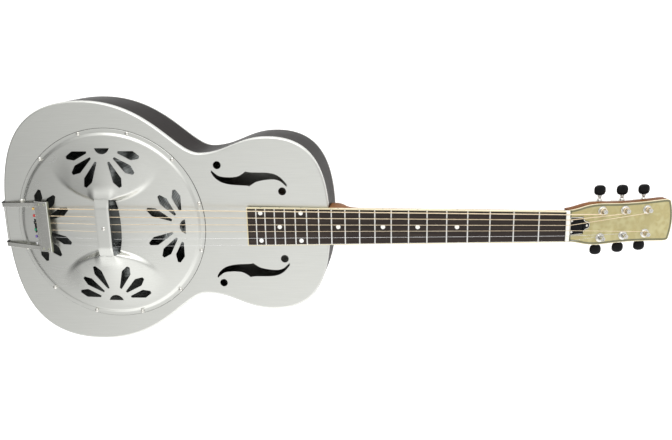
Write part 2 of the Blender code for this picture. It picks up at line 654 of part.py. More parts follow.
def make_fingerboard(neck, rosewood, cream, bone, wedge_wood):
    profile = [(SCALE_LENGTH, -BOARD_THICK), (SCALE_LENGTH, 0.0)]
    for number in range(1, FRET_COUNT + 1):
        x = fret_x(number)
        half = FRET_WIDTH / 2
        profile += [(x + half, 0.0), (x + half * 0.5, FRET_HEIGHT)]
        profile += [(x - half * 0.5, FRET_HEIGHT), (x - half, 0.0)]
    start = BOARD_START + BINDING + GAP
    profile += [(start, 0.0), (start, -BOARD_THICK)]
    board = swept_across(profile, lambda x: board_half(x) - GAP)
    new_object("fingerboard", board, neck, rosewood)

    inner = [(SCALE_LENGTH, board_half(SCALE_LENGTH)), (BOARD_START + BINDING, board_half(BOARD_START))]
    outer = [(BOARD_START, board_half(BOARD_START) + BINDING),
             (SCALE_LENGTH, board_half(SCALE_LENGTH) + BINDING)]
    outline = [(x, y) for x, y in inner]
    outline += [(x, -y) for x, y in reversed(inner)]
    outline += [(x, -y) for x, y in reversed(outer)]
    outline += [(x, y) for x, y in outer]
    new_object("fingerboard_binding", extruded(outline, -BOARD_THICK, 0.0), neck, cream)

    view = notched_bar(NUT_SPREAD, 0.0018, -BOARD_THICK, BOARD_HALF_NUT + BINDING + 0.0001, 0.0010)
    ends = (SCALE_LENGTH + GAP, SCALE_LENGTH + NUT_LENGTH - 0.0002)
    new_object("nut", loft([[(x, y, z) for y, z in view] for x in ends]), neck, bone)

    surface = TOP_Z + BOARD_OVER_TOP
    low = TOP_Z + GAP
    first, last = BOARD_START + 0.001, HEEL_X - 0.001
    tall_first, tall_last = (surface + (SCALE_LENGTH / 2 - x) * sin(NECK_TILT) - BOARD_THICK - 1.3 * GAP
                             for x in (first, last))
    side = [(first, low), (last, low), (last, tall_last), (first, tall_first)]
    new_object("fingerboard_wedge", swept_across(side, lambda x: board_half(x) - 0.002), finish=wedge_wood)


# ---------------------------------------------------------------- headstock
def make_headstock(neck, head, pearloid, cream, black):
    outline = [(max(x, GAP), y) for x, y in head_outline(-0.0015)]
    overlay = new_object("headstock_overlay", extruded(outline, -OVERLAY, 0.0), head, pearloid)
    for number, (x, y, _side) in tuner_places().items():
        hole = turned(((0.0050, -0.01), (0.0050, 0.01)), 12, Matrix.Translation((x, y, 0)))
        boolean(overlay, new_object("cut_overlay_hole_%d" % number, hole, head))
    pocket = block((0.638, -0.0048, -0.02), (0.6605, 0.0048, 0.004))
    boolean(overlay, new_object("cut_overlay_pocket", pocket, neck))

    outer = [(max(x, GAP), y) for x, y in head_outline()]
    inner = [(max(x, GAP), y) for x, y in head_outline(-0.0012)]
    new_object("headstock_binding", extruded(outer + inner[::-1], -OVERLAY, 0.0), head, cream)

    bell = [(0.0012, -0.0128), (0.0205, -0.0128), (0.0222, -0.0095), (0.0245, -0.0062), (0.0275, -0.0052),
            (0.0300, -0.0034), (0.0308, 0.0)]
    bell += [(x, -y) for x, y in bell[-2::-1]]
    new_object("truss_rod_cover", extruded(bell, GAP, 0.0022), head, black)


# ---------------------------------------------------------------- tuners
def gear_outline():
    """Straight-sided teeth; a tooth gap faces +X, where the worm is."""
    root, crest = GEAR_PITCH_RADIUS - 0.0009, GEAR_PITCH_RADIUS + 0.0005
    step = 2 * pi / GEAR_TEETH
    points = []
    for tooth in range(GEAR_TEETH):
        middle = step * (tooth + 0.5)
        for radius, offset in ((root, -0.26), (crest, -0.13), (crest, 0.13), (root, 0.26)):
            points.append((radius * cos(middle + step * offset), radius * sin(middle + step * offset)))
    return points


def worm_thread(start, turns):
    """The worm's single thread about +Z, its crest at the height that meshes with a tooth gap at z = 0."""
    pitch = 2 * pi * GEAR_PITCH_RADIUS / GEAR_TEETH
    steps = 8
    rings = []
    for i in range(int(turns * steps) + 1):
        angle = start + 2 * pi * (i - turns * steps / 2) / steps
        height = pitch * (angle - start) / (2 * pi)
        ring = []
        for radius, offset in ((0.0010, -0.00050), (0.0026, -0.00024), (0.0026, 0.00024), (0.0010, 0.00050)):
            ring.append((radius * cos(angle), radius * sin(angle), height + offset))
        rings.append(ring)
    return loft(rings)


def make_tuner(number, x, y, side, head_matrix, head, finishes):
    """One tuning machine: housing, post with its gear, worm shaft and button."""
    nickel, black = finishes
    name = "tuner_%d_" % number
    back = -OVERLAY - GAP - HEAD_WOOD - GAP
    floor = -0.0285
    worm_x = x + WORM_OFFSET

    corners = ((x - 0.0070, y - 0.0090), (x + 0.0118, y + 0.0090))
    shell = block((corners[0][0], corners[0][1], floor), (corners[1][0], corners[1][1], back))
    housing = new_object(name + "housing", shell, head, nickel)
    sleeve_place = along((0, side, 0), (worm_x, y + side * 0.0085, -WORM_DROP))
    sleeve = turned(((0.0036, 0.0), (0.0036, 0.0040)), 14, sleeve_place)
    boolean(housing, new_object("join_sleeve_%d" % number, sleeve, head), "UNION")
    wall = 0.001
    hollow = block((corners[0][0] + wall, corners[0][1] + wall, floor + wall),
                   (corners[1][0] - wall, corners[1][1] - wall, back + 0.005))
    boolean(housing, new_object("cut_housing_%d" % number, hollow, head))
    bore = turned(((0.0027, -0.001), (0.0027, 0.010)), 12, sleeve_place)
    boolean(housing, new_object("cut_sleeve_%d" % number, bore, head))

    post_matrix = head_matrix @ Matrix.Translation((x, y, 0))
    post = turned(((0.0019, -0.0268), (0.0019, -0.0250), (POST_RADIUS, -0.0242), (POST_RADIUS, POST_TOP)), 12)
    post = smooth(new_object(name + "post", post, finish=nickel), 40.0)
    post.matrix_world = post_matrix
    wheel = extruded(gear_outline(), -WORM_DROP - 0.0018, -WORM_DROP + 0.0018)
    gear = new_object("join_gear_%d" % number, wheel)
    gear.matrix_world = post_matrix
    boolean(post, gear, "UNION")

    ring = turned(((0.0047, -0.0080), (0.0047, GAP), (0.0060, GAP), (0.0060, 0.0012), (0.0050, 0.0020),
                   (POST_RADIUS + GAP, 0.0020), (POST_RADIUS + GAP, -0.0080)), 14,
                  Matrix.Translation((x, y, 0)), ring=True)
    smooth(new_object(name + "bushing", ring, head, nickel), 40.0)

    shaft_matrix = head_matrix @ along((0, side, 0), (worm_x, y, -WORM_DROP))
    reach = BUTTON_REACH
    profile = ((0.0012, -0.0074), (0.0012, 0.0058), (0.0024, 0.0062), (0.0024, reach - 0.0090),
               (0.0017, reach - 0.0085), (0.0017, reach - 0.0020))
    shaft = smooth(new_object(name + "worm_shaft", turned(profile, 10), finish=nickel), 40.0)
    shaft.matrix_world = shaft_matrix
    toward_post = (head_matrix @ Vector((x, y, -WORM_DROP, 1))).to_3d()
    local = shaft_matrix.inverted() @ toward_post
    thread = new_object("join_thread_%d" % number, worm_thread(atan2(local.y, local.x), 2.25))
    thread.matrix_world = shaft_matrix
    boolean(shaft, thread, "UNION")

    rows = ((0.0032, 0.0024, -0.0070), (0.0062, 0.0034, -0.0052), (0.0084, 0.0036, -0.0009),
            (0.0080, 0.0034, 0.0035), (0.0050, 0.0026, 0.0063), (0.0020, 0.0014, 0.0070))
    rings = [[(a * cos(2 * pi * i / 12), b * sin(2 * pi * i / 12), z + reach) for i in range(12)]
             for a, b, z in rows]
    button = smooth(new_object(name + "button", loft(rings), finish=black), 60.0)
    button.matrix_world = shaft_matrix
    hollow = turned(((0.0020, reach - 0.012), (0.0020, reach - 0.0015)), 10)
    socket = new_object("cut_socket_%d" % number, hollow)
    socket.matrix_world = shaft_matrix
    boolean(button, socket)


# ---------------------------------------------------------------- assembly
def tilted_frame(name, matrix):
    empty = bpy.data.objects.new(name, None)
    bpy.context.scene.collection.objects.link(empty)
    empty.matrix_world = matrix
    return empty


def main():
    for old in list(bpy.data.objects):
        bpy.data.objects.remove(old, do_unlink=True)

    bell_metal = material("brushed_bell_metal", (0.60, 0.60, 0.58), 1.0, 0.38)
    dark_metal = material("dark_well_metal", (0.20, 0.20, 0.20), 1.0, 0.5)
    cone_metal = material("spun_aluminium", (0.50, 0.52, 0.53), 1.0, 0.35)
    nickel = material("nickel", (0.68, 0.67, 0.64), 1.0, 0.25)
    steel = material("steel", (0.55, 0.55, 0.55), 1.0, 0.3)
    brass = material("brass", (0.70, 0.52, 0.24), 1.0, 0.3)
    bronze = material("bronze_winding", (0.72, 0.50, 0.30), 1.0, 0.35)
    dark_maple = material("ebonised_maple", (0.035, 0.035, 0.036), 0.0, 0.4)
    mahogany = material("mahogany", (0.30, 0.12, 0.055), 0.0, 0.4)
    rosewood = material("rosewood", (0.070, 0.048, 0.040), 0.0, 0.5)
    cream = material("cream_binding", (0.78, 0.70, 0.50), 0.0, 0.4)
    bone = material("bone", (0.85, 0.82, 0.72), 0.0, 0.4)
    pearloid = material("pearloid", (0.62, 0.57, 0.34), 0.0, 0.3)
    black = material("black_plastic", (0.015, 0.015, 0.016), 0.0, 0.3)

    height = TOP_Z + BOARD_OVER_TOP
    middle = SCALE_LENGTH / 2
    tilt = Matrix.Rotation(NECK_TILT, 4, "Y")
    lift = Vector((middle - middle * cos(NECK_TILT), 0, height + middle * sin(NECK_TILT)))
    neck_matrix = Matrix.Translation(lift) @ tilt
    corner = neck_matrix @ Vector((SCALE_LENGTH + NUT_LENGTH, 0, -HEAD_STEP))
    head_matrix = Matrix.Translation(corner) @ Matrix.Rotation(HEAD_TILT, 4, "Y")
    neck = tilted_frame("neck_frame", neck_matrix)
    head = tilted_frame("head_frame", head_matrix)

    make_body(bell_metal)
    make_resonator(dark_metal, cone_metal, dark_maple, steel)
    make_cover(bell_metal)
    make_strings(neck_matrix, head_matrix, bronze, steel)
    make_tailpiece(nickel)
    make_bracket(nickel)
    make_neck(neck, head, mahogany, steel)
    make_rod_nut(neck_matrix, brass)
    make_fingerboard(neck, rosewood, cream, bone, mahogany)
    make_headstock(neck, head, pearloid, cream, black)
    for number, (x, y, side) in sorted(tuner_places().items()):
        make_tuner(number, x, y, side, head_matrix, head, (nickel, black))


main()
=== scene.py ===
"""Looks of the resonator guitar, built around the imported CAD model, with its light and camera.

Frame: metres, +Z up out of the face, +X from the saddle towards the headstock, +Y the bass side.
"""
import json
from math import atan2, cos, hypot, pi, radians, sin

import bmesh
import bpy
from mathutils import Matrix, Vector


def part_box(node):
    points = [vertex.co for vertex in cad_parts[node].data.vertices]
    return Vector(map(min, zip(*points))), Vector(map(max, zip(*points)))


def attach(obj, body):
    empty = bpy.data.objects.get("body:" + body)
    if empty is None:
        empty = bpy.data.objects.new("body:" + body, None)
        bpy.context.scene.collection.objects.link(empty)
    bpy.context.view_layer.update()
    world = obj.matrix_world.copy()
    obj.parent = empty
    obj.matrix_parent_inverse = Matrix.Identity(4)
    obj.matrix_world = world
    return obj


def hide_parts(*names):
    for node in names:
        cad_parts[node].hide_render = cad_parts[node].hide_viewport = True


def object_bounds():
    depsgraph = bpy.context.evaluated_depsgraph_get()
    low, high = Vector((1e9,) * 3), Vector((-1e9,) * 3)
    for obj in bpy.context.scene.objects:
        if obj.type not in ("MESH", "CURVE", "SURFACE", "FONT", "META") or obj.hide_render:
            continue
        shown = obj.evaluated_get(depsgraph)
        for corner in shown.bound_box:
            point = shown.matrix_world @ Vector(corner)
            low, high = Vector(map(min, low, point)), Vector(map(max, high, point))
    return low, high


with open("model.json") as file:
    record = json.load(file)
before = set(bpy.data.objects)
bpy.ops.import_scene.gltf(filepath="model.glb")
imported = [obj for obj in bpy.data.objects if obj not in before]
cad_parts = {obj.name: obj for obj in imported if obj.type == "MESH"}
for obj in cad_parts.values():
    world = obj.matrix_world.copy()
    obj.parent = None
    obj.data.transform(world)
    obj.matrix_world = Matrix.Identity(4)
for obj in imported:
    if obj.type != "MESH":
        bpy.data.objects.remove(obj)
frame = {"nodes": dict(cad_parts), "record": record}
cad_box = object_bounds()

# ---------- places read from the frame
JOINTS = {joint["name"]: joint for joint in frame["record"]["behaviour"]["joints"]}
TOP_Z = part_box("body_top")[1][2]
TAIL_X, HEEL_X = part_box("body_top")[0][0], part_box("body_top")[1][0]
COVER_LOW, COVER_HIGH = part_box("cover_plate")
COVER_X = (COVER_LOW[0] + COVER_HIGH[0]) / 2
COVER_RADIUS = (COVER_HIGH[0] - COVER_LOW[0]) / 2
NECK_AXIS = Vector(JOINTS["truss_rod_adjust"]["axis"])
HEAD_NORMAL = Vector(JOINTS["tuner_1_wind"]["axis"])
NECK_TILT = atan2(-NECK_AXIS.z, NECK_AXIS.x)
HEAD_TILT = atan2(HEAD_NORMAL.x, HEAD_NORMAL.z)

# ---------- dimensions (metres)
SHEET = 0.001
EDGE_RADIUS = 0.003
LIP_DEPTH = 0.007
SCALE_LENGTH = 0.635
FRET_COUNT = 19
BOARD_START, BOARD_THICK = 0.1985, 0.006
BOARD_HALF_NUT, BOARD_HALF_12 = 0.02026, 0.0246
BOARD_OVER_TOP = 0.007
BINDING = 0.0013
NUT_LENGTH = 0.005
HEAD_STEP, HEAD_LENGTH, HEAD_WOOD, OVERLAY = 0.0045, 0.153, 0.0145, 0.0015
POST_RADIUS, POST_TOP = 0.003, 0.010
BUTTON_REACH = 0.0237
SADDLE_HEIGHT = 0.0188
STRING_DIAMETERS = (0.00033, 0.00043, 0.00066, 0.00086, 0.00112, 0.00142)
# width and sideways shift of the row of strings at the saddle, the nut and the ball ends
SADDLE_SPREAD, NUT_SPREAD, BALL_SPREAD = (0.0545, -0.0006), (0.0372, -0.0010), (0.0515, 0.0)


def neck_frame():
    """Places the neck's own X along the fingerboard's face, from under the saddle."""
    middle = SCALE_LENGTH / 2
    height = TOP_Z + BOARD_OVER_TOP + middle * sin(NECK_TILT)
    place = Matrix.Translation((middle - middle * cos(NECK_TILT), 0, height))
    return place @ Matrix.Rotation(NECK_TILT, 4, "Y")


NECK = neck_frame()
HEAD_CORNER = NECK @ Vector((SCALE_LENGTH + NUT_LENGTH, 0, -HEAD_STEP))
HEAD = Matrix.Translation(HEAD_CORNER) @ Matrix.Rotation(HEAD_TILT, 4, "Y")


def post_place(number):
    """A tuner's post on the headstock's own plan."""
    return HEAD.inverted() @ Vector(JOINTS["tuner_%d_wind" % number]["pos_m"])


# ---------- materials
def put(tree, socket, value):
    """Set an input socket, or link it where the value is a socket itself."""
    if isinstance(value, bpy.types.NodeSocket):
        tree.links.new(value, socket)
    else:
        socket.default_value = value


def feed(tree, node, **inputs):
    """Fill a node's inputs by name, with an underscore for each space."""
    for key, value in inputs.items():
        put(tree, node.inputs[key.replace("_", " ")], value)
    return node


def add(tree, kind, **inputs):
    return feed(tree, tree.nodes.new(kind), **inputs)


def calculated(tree, kind, operation, *values):
    """The result of a maths node, whose inputs are filled in order."""
    node = tree.nodes.new(kind)
    node.operation = operation
    for socket, value in zip(node.inputs, values):
        put(tree, socket, value)
    return node.outputs[0]


def shader_material(name, metallic, roughness, coat=0.0):
    made = bpy.data.materials.new(name)
    made.use_nodes = True
    tree = made.node_tree
    shader = feed(tree, tree.nodes["Principled BSDF"], Metallic=metallic, Roughness=roughness,
                  Coat_Weight=coat, Coat_Roughness=0.12)
    return made, tree, shader


def stretched_noise(tree, scale, stretch=(1, 1, 1), detail=4.0, distortion=0.0):
    """Noise over the object's own coordinates, drawn out along the axes with a small stretch value."""
    place = add(tree, "ShaderNodeTexCoord").outputs["Object"]
    mapped = add(tree, "ShaderNodeMapping", Vector=place, Scale=stretch).outputs["Vector"]
    return add(tree, "ShaderNodeTexNoise", Vector=mapped, Scale=scale, Detail=detail, Distortion=distortion)


def ramp(tree, source, *stops):
    """Colours looked up at (position, colour) stops."""
    node = add(tree, "ShaderNodeValToRGB", Fac=source)
    elements = node.color_ramp.elements
    while len(elements) < len(stops):
        elements.new(0.5)
    for element, (position, color) in zip(elements, stops):
        element.position = position
        element.color = (*color, 1.0)
    return node.outputs["Color"]


def spread(tree, source, low, high):
    """A value rescaled so that the middle of a noise covers low to high."""
    return add(tree, "ShaderNodeMapRange", Value=source, From_Min=0.3, From_Max=0.7, To_Min=low,
               To_Max=high).outputs["Result"]


def bump(tree, height, distance):
    return add(tree, "ShaderNodeBump", Height=height, Distance=distance, Strength=1.0).outputs["Normal"]


def mottled(name, dark, light, metallic, rough, scale, stretch=(1, 1, 1), depth=0.00002, coat=0.0,
            gloss=0.5):
    """A surface whose colour, roughness and fine relief all follow one stretched noise."""
    made, tree, shader = shader_material(name, metallic, rough[0], coat)
    grain = stretched_noise(tree, scale, stretch).outputs["Fac"]
    feed(tree, shader, Specular_IOR_Level=gloss, Base_Color=ramp(tree, grain, (0.3, dark), (0.7, light)),
         Roughness=spread(tree, grain, *rough), Normal=bump(tree, grain, depth))
    return made


def satin_metal(name, dark, light, rough, edge=1.0):
    """Sheet metal: fine lengthwise brushing over slow, faint clouds of finish."""
    made, tree, shader = shader_material(name, 1.0, rough[0])
    brushing = stretched_noise(tree, 1400.0, (0.02, 1.0, 1.0), 3.0).outputs["Fac"]
    clouds = stretched_noise(tree, 9.0, (0.5, 1.0, 1.0), 2.0).outputs["Fac"]
    both = add(tree, "ShaderNodeMix", Factor=0.04, A=brushing, B=clouds).outputs["Result"]
    feed(tree, shader, Specular_Tint=(edge, edge, edge, 1.0),
         Base_Color=ramp(tree, both, (0.3, dark), (0.7, light)),
         Roughness=spread(tree, clouds, *rough), Normal=bump(tree, brushing, 0.000004))
    return made


def spun_metal(name, dark, light, rough):
    """Spun sheet: fine rings about the cone's axis, whose dark and light colour is partly spinning marks and
    partly painted streaks of reflected light.
    """
    made, tree, shader = shader_material(name, 1.0, rough)
    place = add(tree, "ShaderNodeTexCoord").outputs["Object"]
    centred = add(tree, "ShaderNodeMapping", Vector=place, Location=(-COVER_X, 0, 0)).outputs["Vector"]
    flat = calculated(tree, "ShaderNodeVectorMath", "MULTIPLY", centred, (1, 1, 0))
    rings = add(tree, "ShaderNodeTexWave", Vector=flat, Scale=160.0, Distortion=1.5, Detail=2.0)
    rings.wave_type = "RINGS"
    rings.rings_direction = "SPHERICAL"
    wave = rings.outputs["Fac"]
    feed(tree, shader, Base_Color=ramp(tree, wave, (0.0, dark), (1.0, light)),
         Normal=bump(tree, wave, 0.00004))
    return made


def wood(name, dark, middle, light, rough, pore, gloss):
    """Wood with its grain along X: broad figure, fine streaks and open pores."""
    made, tree, shader = shader_material(name, 0.0, rough)
    figure = stretched_noise(tree, 55.0, (0.05, 1.0, 1.0), 5.0, 0.6).outputs["Fac"]
    streaks = stretched_noise(tree, 420.0, (0.03, 1.0, 1.0), 4.0).outputs["Fac"]
    both = add(tree, "ShaderNodeMix", Factor=0.42, A=figure, B=streaks).outputs["Result"]
    feed(tree, shader, Specular_IOR_Level=gloss,
         Base_Color=ramp(tree, both, (0.34, dark), (0.5, middle), (0.66, light)),
         Roughness=spread(tree, streaks, rough, rough + 0.12), Normal=bump(tree, streaks, pore))
    return made


def pearl_sheet():
    """Pearl celluloid: pale flakes at many angles in a yellow ground."""
    made, tree, shader = shader_material("pearloid", 0.0, 0.22, 0.6)
    place = add(tree, "ShaderNodeTexCoord").outputs["Object"]
    warp = stretched_noise(tree, 90.0, detail=2.0).outputs["Color"]
    mixed = calculated(tree, "ShaderNodeVectorMath", "MULTIPLY_ADD", warp, (0.006, 0.006, 0.006), place)
    flakes = add(tree, "ShaderNodeTexVoronoi", Vector=mixed, Scale=150.0)
    flakes.feature = "SMOOTH_F1"
    clouds = stretched_noise(tree, 38.0, detail=3.0).outputs["Fac"]
    both = add(tree, "ShaderNodeMix", Factor=0.5, A=flakes.outputs["Distance"], B=clouds).outputs["Result"]
    shades = ramp(tree, both, (0.22, (0.425, 0.365, 0.155)), (0.42, (0.385, 0.330, 0.140)),
                  (0.62, (0.460, 0.415, 0.205)))
    feed(tree, shader, Base_Color=shades)
    return made


WINDING_PITCH = 0.00030


def wound_wire():
    """Bronze winding: a ridge for each turn, counted along the wire by the mesh's own length attribute."""
    made, tree, shader = shader_material("bronze_winding", 1.0, 0.34)
    length = add(tree, "ShaderNodeAttribute")
    length.attribute_name = "along"
    turns = calculated(tree, "ShaderNodeMath", "MULTIPLY", length.outputs["Fac"], 2 * pi / WINDING_PITCH)
    ridge = calculated(tree, "ShaderNodeMath", "SINE", turns)
    wear = stretched_noise(tree, 60.0, (0.2, 1, 1)).outputs["Fac"]
    feed(tree, shader, Base_Color=ramp(tree, wear, (0.3, (0.76, 0.61, 0.41)), (0.7, (0.85, 0.73, 0.54))),
         Normal=bump(tree, ridge, 0.00004))
    return made


METAL_DARK, METAL_LIGHT = (0.525, 0.53, 0.50), (0.565, 0.57, 0.54)
LOOKS = {
    "top": satin_metal("satin_top_metal", METAL_DARK, METAL_LIGHT, (0.30, 0.36)),
    "cover": satin_metal("satin_cover_metal", METAL_DARK, METAL_LIGHT, (0.26, 0.31)),
    # The side band's metal is a far darker copy of the top's satin metal, with its edge reflection dulled
    # too: painted shade, so that the sides read dark though they face the pale floor.
    "sides": satin_metal("side_metal_shaded_dark", (0.050, 0.046, 0.045), (0.062, 0.057, 0.055), (0.30, 0.38),
                         edge=0.45),
    "well": mottled("well_metal", (0.22, 0.22, 0.21), (0.32, 0.32, 0.31), 1.0, (0.45, 0.6), 60.0),
    # The cone's colour rings are partly spinning marks and partly painted reflection.
    "cone": spun_metal("spun_cone", (0.14, 0.15, 0.15), (0.42, 0.44, 0.43), 0.24),
    "nickel": mottled("nickel_plate", (0.60, 0.59, 0.55), (0.70, 0.69, 0.65), 1.0, (0.14, 0.24), 120.0,
                      depth=0.000008),
    "tail": mottled("tailpiece_nickel", (0.66, 0.66, 0.62), (0.70, 0.70, 0.66), 1.0, (0.22, 0.28), 260.0,
                    (1, 0.05, 1), 0.000002),
    # A darker, greenish copy of the tailpiece nickel for the plate's front fold and the rivet heads: painted
    # shade and a painted reflection of the dark parts beneath.
    "fold": mottled("tailpiece_nickel_shaded_green", (0.31, 0.32, 0.25), (0.38, 0.39, 0.31), 1.0, (0.3, 0.4), 260.0,
                    (1, 0.05, 1), 0.000004),
    "steel": mottled("plain_steel", (0.55, 0.55, 0.55), (0.70, 0.70, 0.70), 1.0, (0.2, 0.3), 300.0,
                     (0.1, 1, 1)),
    "fret": mottled("fret_metal", (0.66, 0.65, 0.62), (0.80, 0.79, 0.76), 1.0, (0.16, 0.26), 400.0,
                    (1, 0.1, 1), 0.00001),
    "brass": mottled("nut_brass", (0.62, 0.45, 0.20), (0.76, 0.58, 0.28), 1.0, (0.25, 0.35), 200.0),
    "bronze": wound_wire(),
    "mahogany": wood("mahogany_lacquer", (0.095, 0.030, 0.004), (0.155, 0.053, 0.008), (0.21, 0.080, 0.015),
                     0.46, 0.00002, 0.10),
    "rosewood": wood("rosewood_oiled", (0.013, 0.009, 0.0075), (0.024, 0.017, 0.014), (0.042, 0.030, 0.024),
                     0.46, 0.00006, 0.22),
    "cream": mottled("cream_celluloid", (0.62, 0.54, 0.33), (0.68, 0.61, 0.40), 0.0, (0.25, 0.35), 40.0,
                     (0.2, 1, 1), 0.000005, 0.3),
    "olive": mottled("olive_line", (0.115, 0.110, 0.050), (0.165, 0.160, 0.080), 0.0, (0.3, 0.4), 300.0,
                     (0.2, 1, 1), 0.000005, 0.3),
    "bone": mottled("bone_nut", (0.78, 0.75, 0.66), (0.88, 0.86, 0.79), 0.0, (0.3, 0.42), 500.0,
                    (1, 0.1, 1), 0.00001),
    "pearl": pearl_sheet(),
    "dot": mottled("pearl_dot", (0.78, 0.78, 0.74), (0.90, 0.90, 0.87), 0.0, (0.2, 0.3), 600.0,
                   depth=0.000005),
    "ebony": mottled("ebony_biscuit", (0.065, 0.070, 0.068), (0.115, 0.122, 0.118), 0.0, (0.30, 0.42), 90.0,
                     (0.1, 1, 1), 0.00003),
    # Near-black used only for thin strips where shade falls: a painted shadow round the cover's edge and
    # painted shade along the tailpiece straps.
    "shade_black": mottled("painted_shadow_black", (0.020, 0.019, 0.018), (0.055, 0.052, 0.048), 0.4, (0.5, 0.7), 300.0),
    "black": mottled("black_plastic", (0.003, 0.003, 0.0035), (0.007, 0.007, 0.0075), 0.0, (0.26, 0.36), 90.0,
                     depth=0.00001, gloss=0.12),
}


# ---------- mesh helpers
def loft(rings, close_ends=True, close_loop=False):
    """Skin between rings of equal point count, each ring a closed loop of (x, y, z)."""
    bm = bmesh.new()
    rows = [[bm.verts.new(point) for point in ring] for ring in rings]
    count = len(rows[0])
    pairs = list(zip(rows, rows[1:]))
    if close_loop:
        pairs.append((rows[-1], rows[0]))
    for low, high in pairs:
        for i in range(count):
            j = (i + 1) % count
            bm.faces.new((low[i], low[j], high[j], high[i]))
    if close_ends and not close_loop:
        bm.faces.new(rows[0][::-1])
        bm.faces.new(rows[-1])
    return bm


def extruded(outline, low, high):
    return loft([[(x, y, low) for x, y in outline], [(x, y, high) for x, y in outline]])


def turned(profile, sides=32, ring=False):
    """A profile of (radius, height) points turned about +Z; ring=True leaves a hole through it."""
    rings = [[(r * cos(2 * pi * i / sides), r * sin(2 * pi * i / sides), z) for i in range(sides)]
             for r, z in profile]
    return loft(rings, close_ends=not ring, close_loop=ring)


def slab(outline, low, high, edge, steps=3):
    """A flat outline with both edges rounded over by a small radius."""
    rings = []
    turns = [pi / 2 * i / steps for i in range(steps + 1)]
    for angle in turns:
        rings.append((edge * (1 - sin(angle)), low + edge * (1 - cos(angle))))
    for angle in reversed(turns):
        rings.append((edge * (1 - sin(angle)), high - edge * (1 - cos(angle))))
    return loft([[(x, y, z) for x, y in inset(outline, d)] for d, z in rings])


def inset(outline, distance):
    """A counter-clockwise outline moved inwards by a distance."""
    moved = []
    for i, (x, y) in enumerate(outline):
        before, after = outline[i - 1], outline[(i + 1) % len(outline)]
        dx, dy = after[0] - before[0], after[1] - before[1]
        length = hypot(dx, dy) or 1.0
        moved.append((x - dy / length * distance, y + dx / length * distance))
    return moved


def smooth_path(points, steps=6, closed=False):
    """A Catmull-Rom curve through the points."""
    count = len(points)
    made = []
    for i in range(count if closed else count - 1):
        if closed:
            a, b, c, d = (points[(i + k) % count] for k in (-1, 0, 1, 2))
        else:
            a, b, c, d = points[max(i - 1, 0)], points[i], points[i + 1], points[min(i + 2, count - 1)]
        for k in range(steps):
            t = k / steps
            made.append(tuple(0.5 * (2 * q + (r - p) * t + (2 * p - 5 * q + 4 * r - s) * t * t
                                     + (3 * q - p - 3 * r + s) * t ** 3) for p, q, r, s in zip(a, b, c, d)))
    if not closed:
        made.append(tuple(points[-1]))
    return made


def rounded(corners, radius, steps=4):
    """A polygon of (x, y) corners with each corner rounded off."""
    made = []
    for i, corner in enumerate(corners):
        here = Vector(corner)
        back, ahead = Vector(corners[i - 1]) - here, Vector(corners[(i + 1) % len(corners)]) - here
        cut = min(radius, 0.45 * back.length, 0.45 * ahead.length)
        start, end = here + back.normalized() * cut, here + ahead.normalized() * cut
        for k in range(steps + 1):
            t = k / steps
            made.append(tuple((1 - t) ** 2 * start + 2 * t * (1 - t) * here + t * t * end))
    return made


def along(axis, location):
    """A matrix that carries +Z onto the given axis and the origin onto a location."""
    turn = Vector((0, 0, 1)).rotation_difference(Vector(axis)).to_matrix().to_4x4()
    return Matrix.Translation(location) @ turn


def wire(points, radius, sides=10, radii=None):
    """A round wire through the points, with each point's length along it in the attribute 'along'."""
    points = [Vector(p) for p in points]
    side = Vector((0, 0, 1))
    rings, lengths, run = [], [], 0.0
    for i, point in enumerate(points):
        if i:
            run += (point - points[i - 1]).length
        ahead = (points[min(i + 1, len(points) - 1)] - points[max(i - 1, 0)]).normalized()
        side = (side - ahead * side.dot(ahead)).normalized()
        other = ahead.cross(side)
        r = radii[i] if radii else radius
        rings.append([point + side * (r * cos(2 * pi * k / sides)) + other * (r * sin(2 * pi * k / sides))
                      for k in range(sides)])
        lengths += [run] * sides
    bm = loft(rings)
    layer = bm.verts.layers.float.new("along")
    for vertex, length in zip(bm.verts, lengths):
        vertex[layer] = length
    return bm


def bare_object(name, bm):
    bmesh.ops.recalc_face_normals(bm, faces=bm.faces)
    mesh = bpy.data.meshes.new(name)
    bm.to_mesh(mesh)
    bm.free()
    made = bpy.data.objects.new(name, mesh)
    bpy.context.scene.collection.objects.link(made)
    return made


def finished(made, look, slot, body="guitar", replaces=(), sharp=35.0, flat_first=False):
    """Shade a piece, give it its material, and hang it on its CAD body."""
    made.data.materials.clear()
    made.data.materials.append(LOOKS[look] if isinstance(look, str) else look)
    made.data.shade_smooth()
    made.data.set_sharp_from_angle(angle=radians(sharp))
    if flat_first:
        weights = made.modifiers.new("even_flats", "WEIGHTED_NORMAL")
        weights.keep_sharp = True
    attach(made, body)
    if replaces:
        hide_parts(*replaces)
    return made


def piece(name, bm, look, slot, matrix=None, **choices):
    if matrix is not None:
        bm.transform(matrix)
    return finished(bare_object(name, bm), look, slot, **choices)


def carve(target, cutter_bm):
    """Cut a shape out of a piece for good."""
    tool = bare_object("tool", cutter_bm)
    modifier = target.modifiers.new("carve", "BOOLEAN")
    modifier.object = tool
    modifier.operation = "DIFFERENCE"
    modifier.solver = "EXACT"
    modifier.use_self = True
    graph = bpy.context.evaluated_depsgraph_get()
    mesh = bpy.data.meshes.new_from_object(target.evaluated_get(graph))
    target.modifiers.clear()
    target.data = mesh
    bpy.data.objects.remove(tool, do_unlink=True)


def merged(parts):
    """Several bmeshes in one."""
    whole = bmesh.new()
    for part in parts:
        mesh = bpy.data.meshes.new("part")
        part.to_mesh(mesh)
        part.free()
        whole.from_mesh(mesh)
        bpy.data.meshes.remove(mesh)
    bmesh.ops.recalc_face_normals(whole, faces=whole.faces)
    return whole


def copies(make, places):
    """One bmesh with a copy of a shape at each matrix; make gives a fresh shape each time."""
    parts = []
    for place in places:
        part = make()
        part.transform(place)
        parts.append(part)
    return merged(parts)


def ease(value):
    """A smooth step from 0 to 1."""
    value = min(max(value, 0.0), 1.0)
    return value * value * (3 - 2 * value)


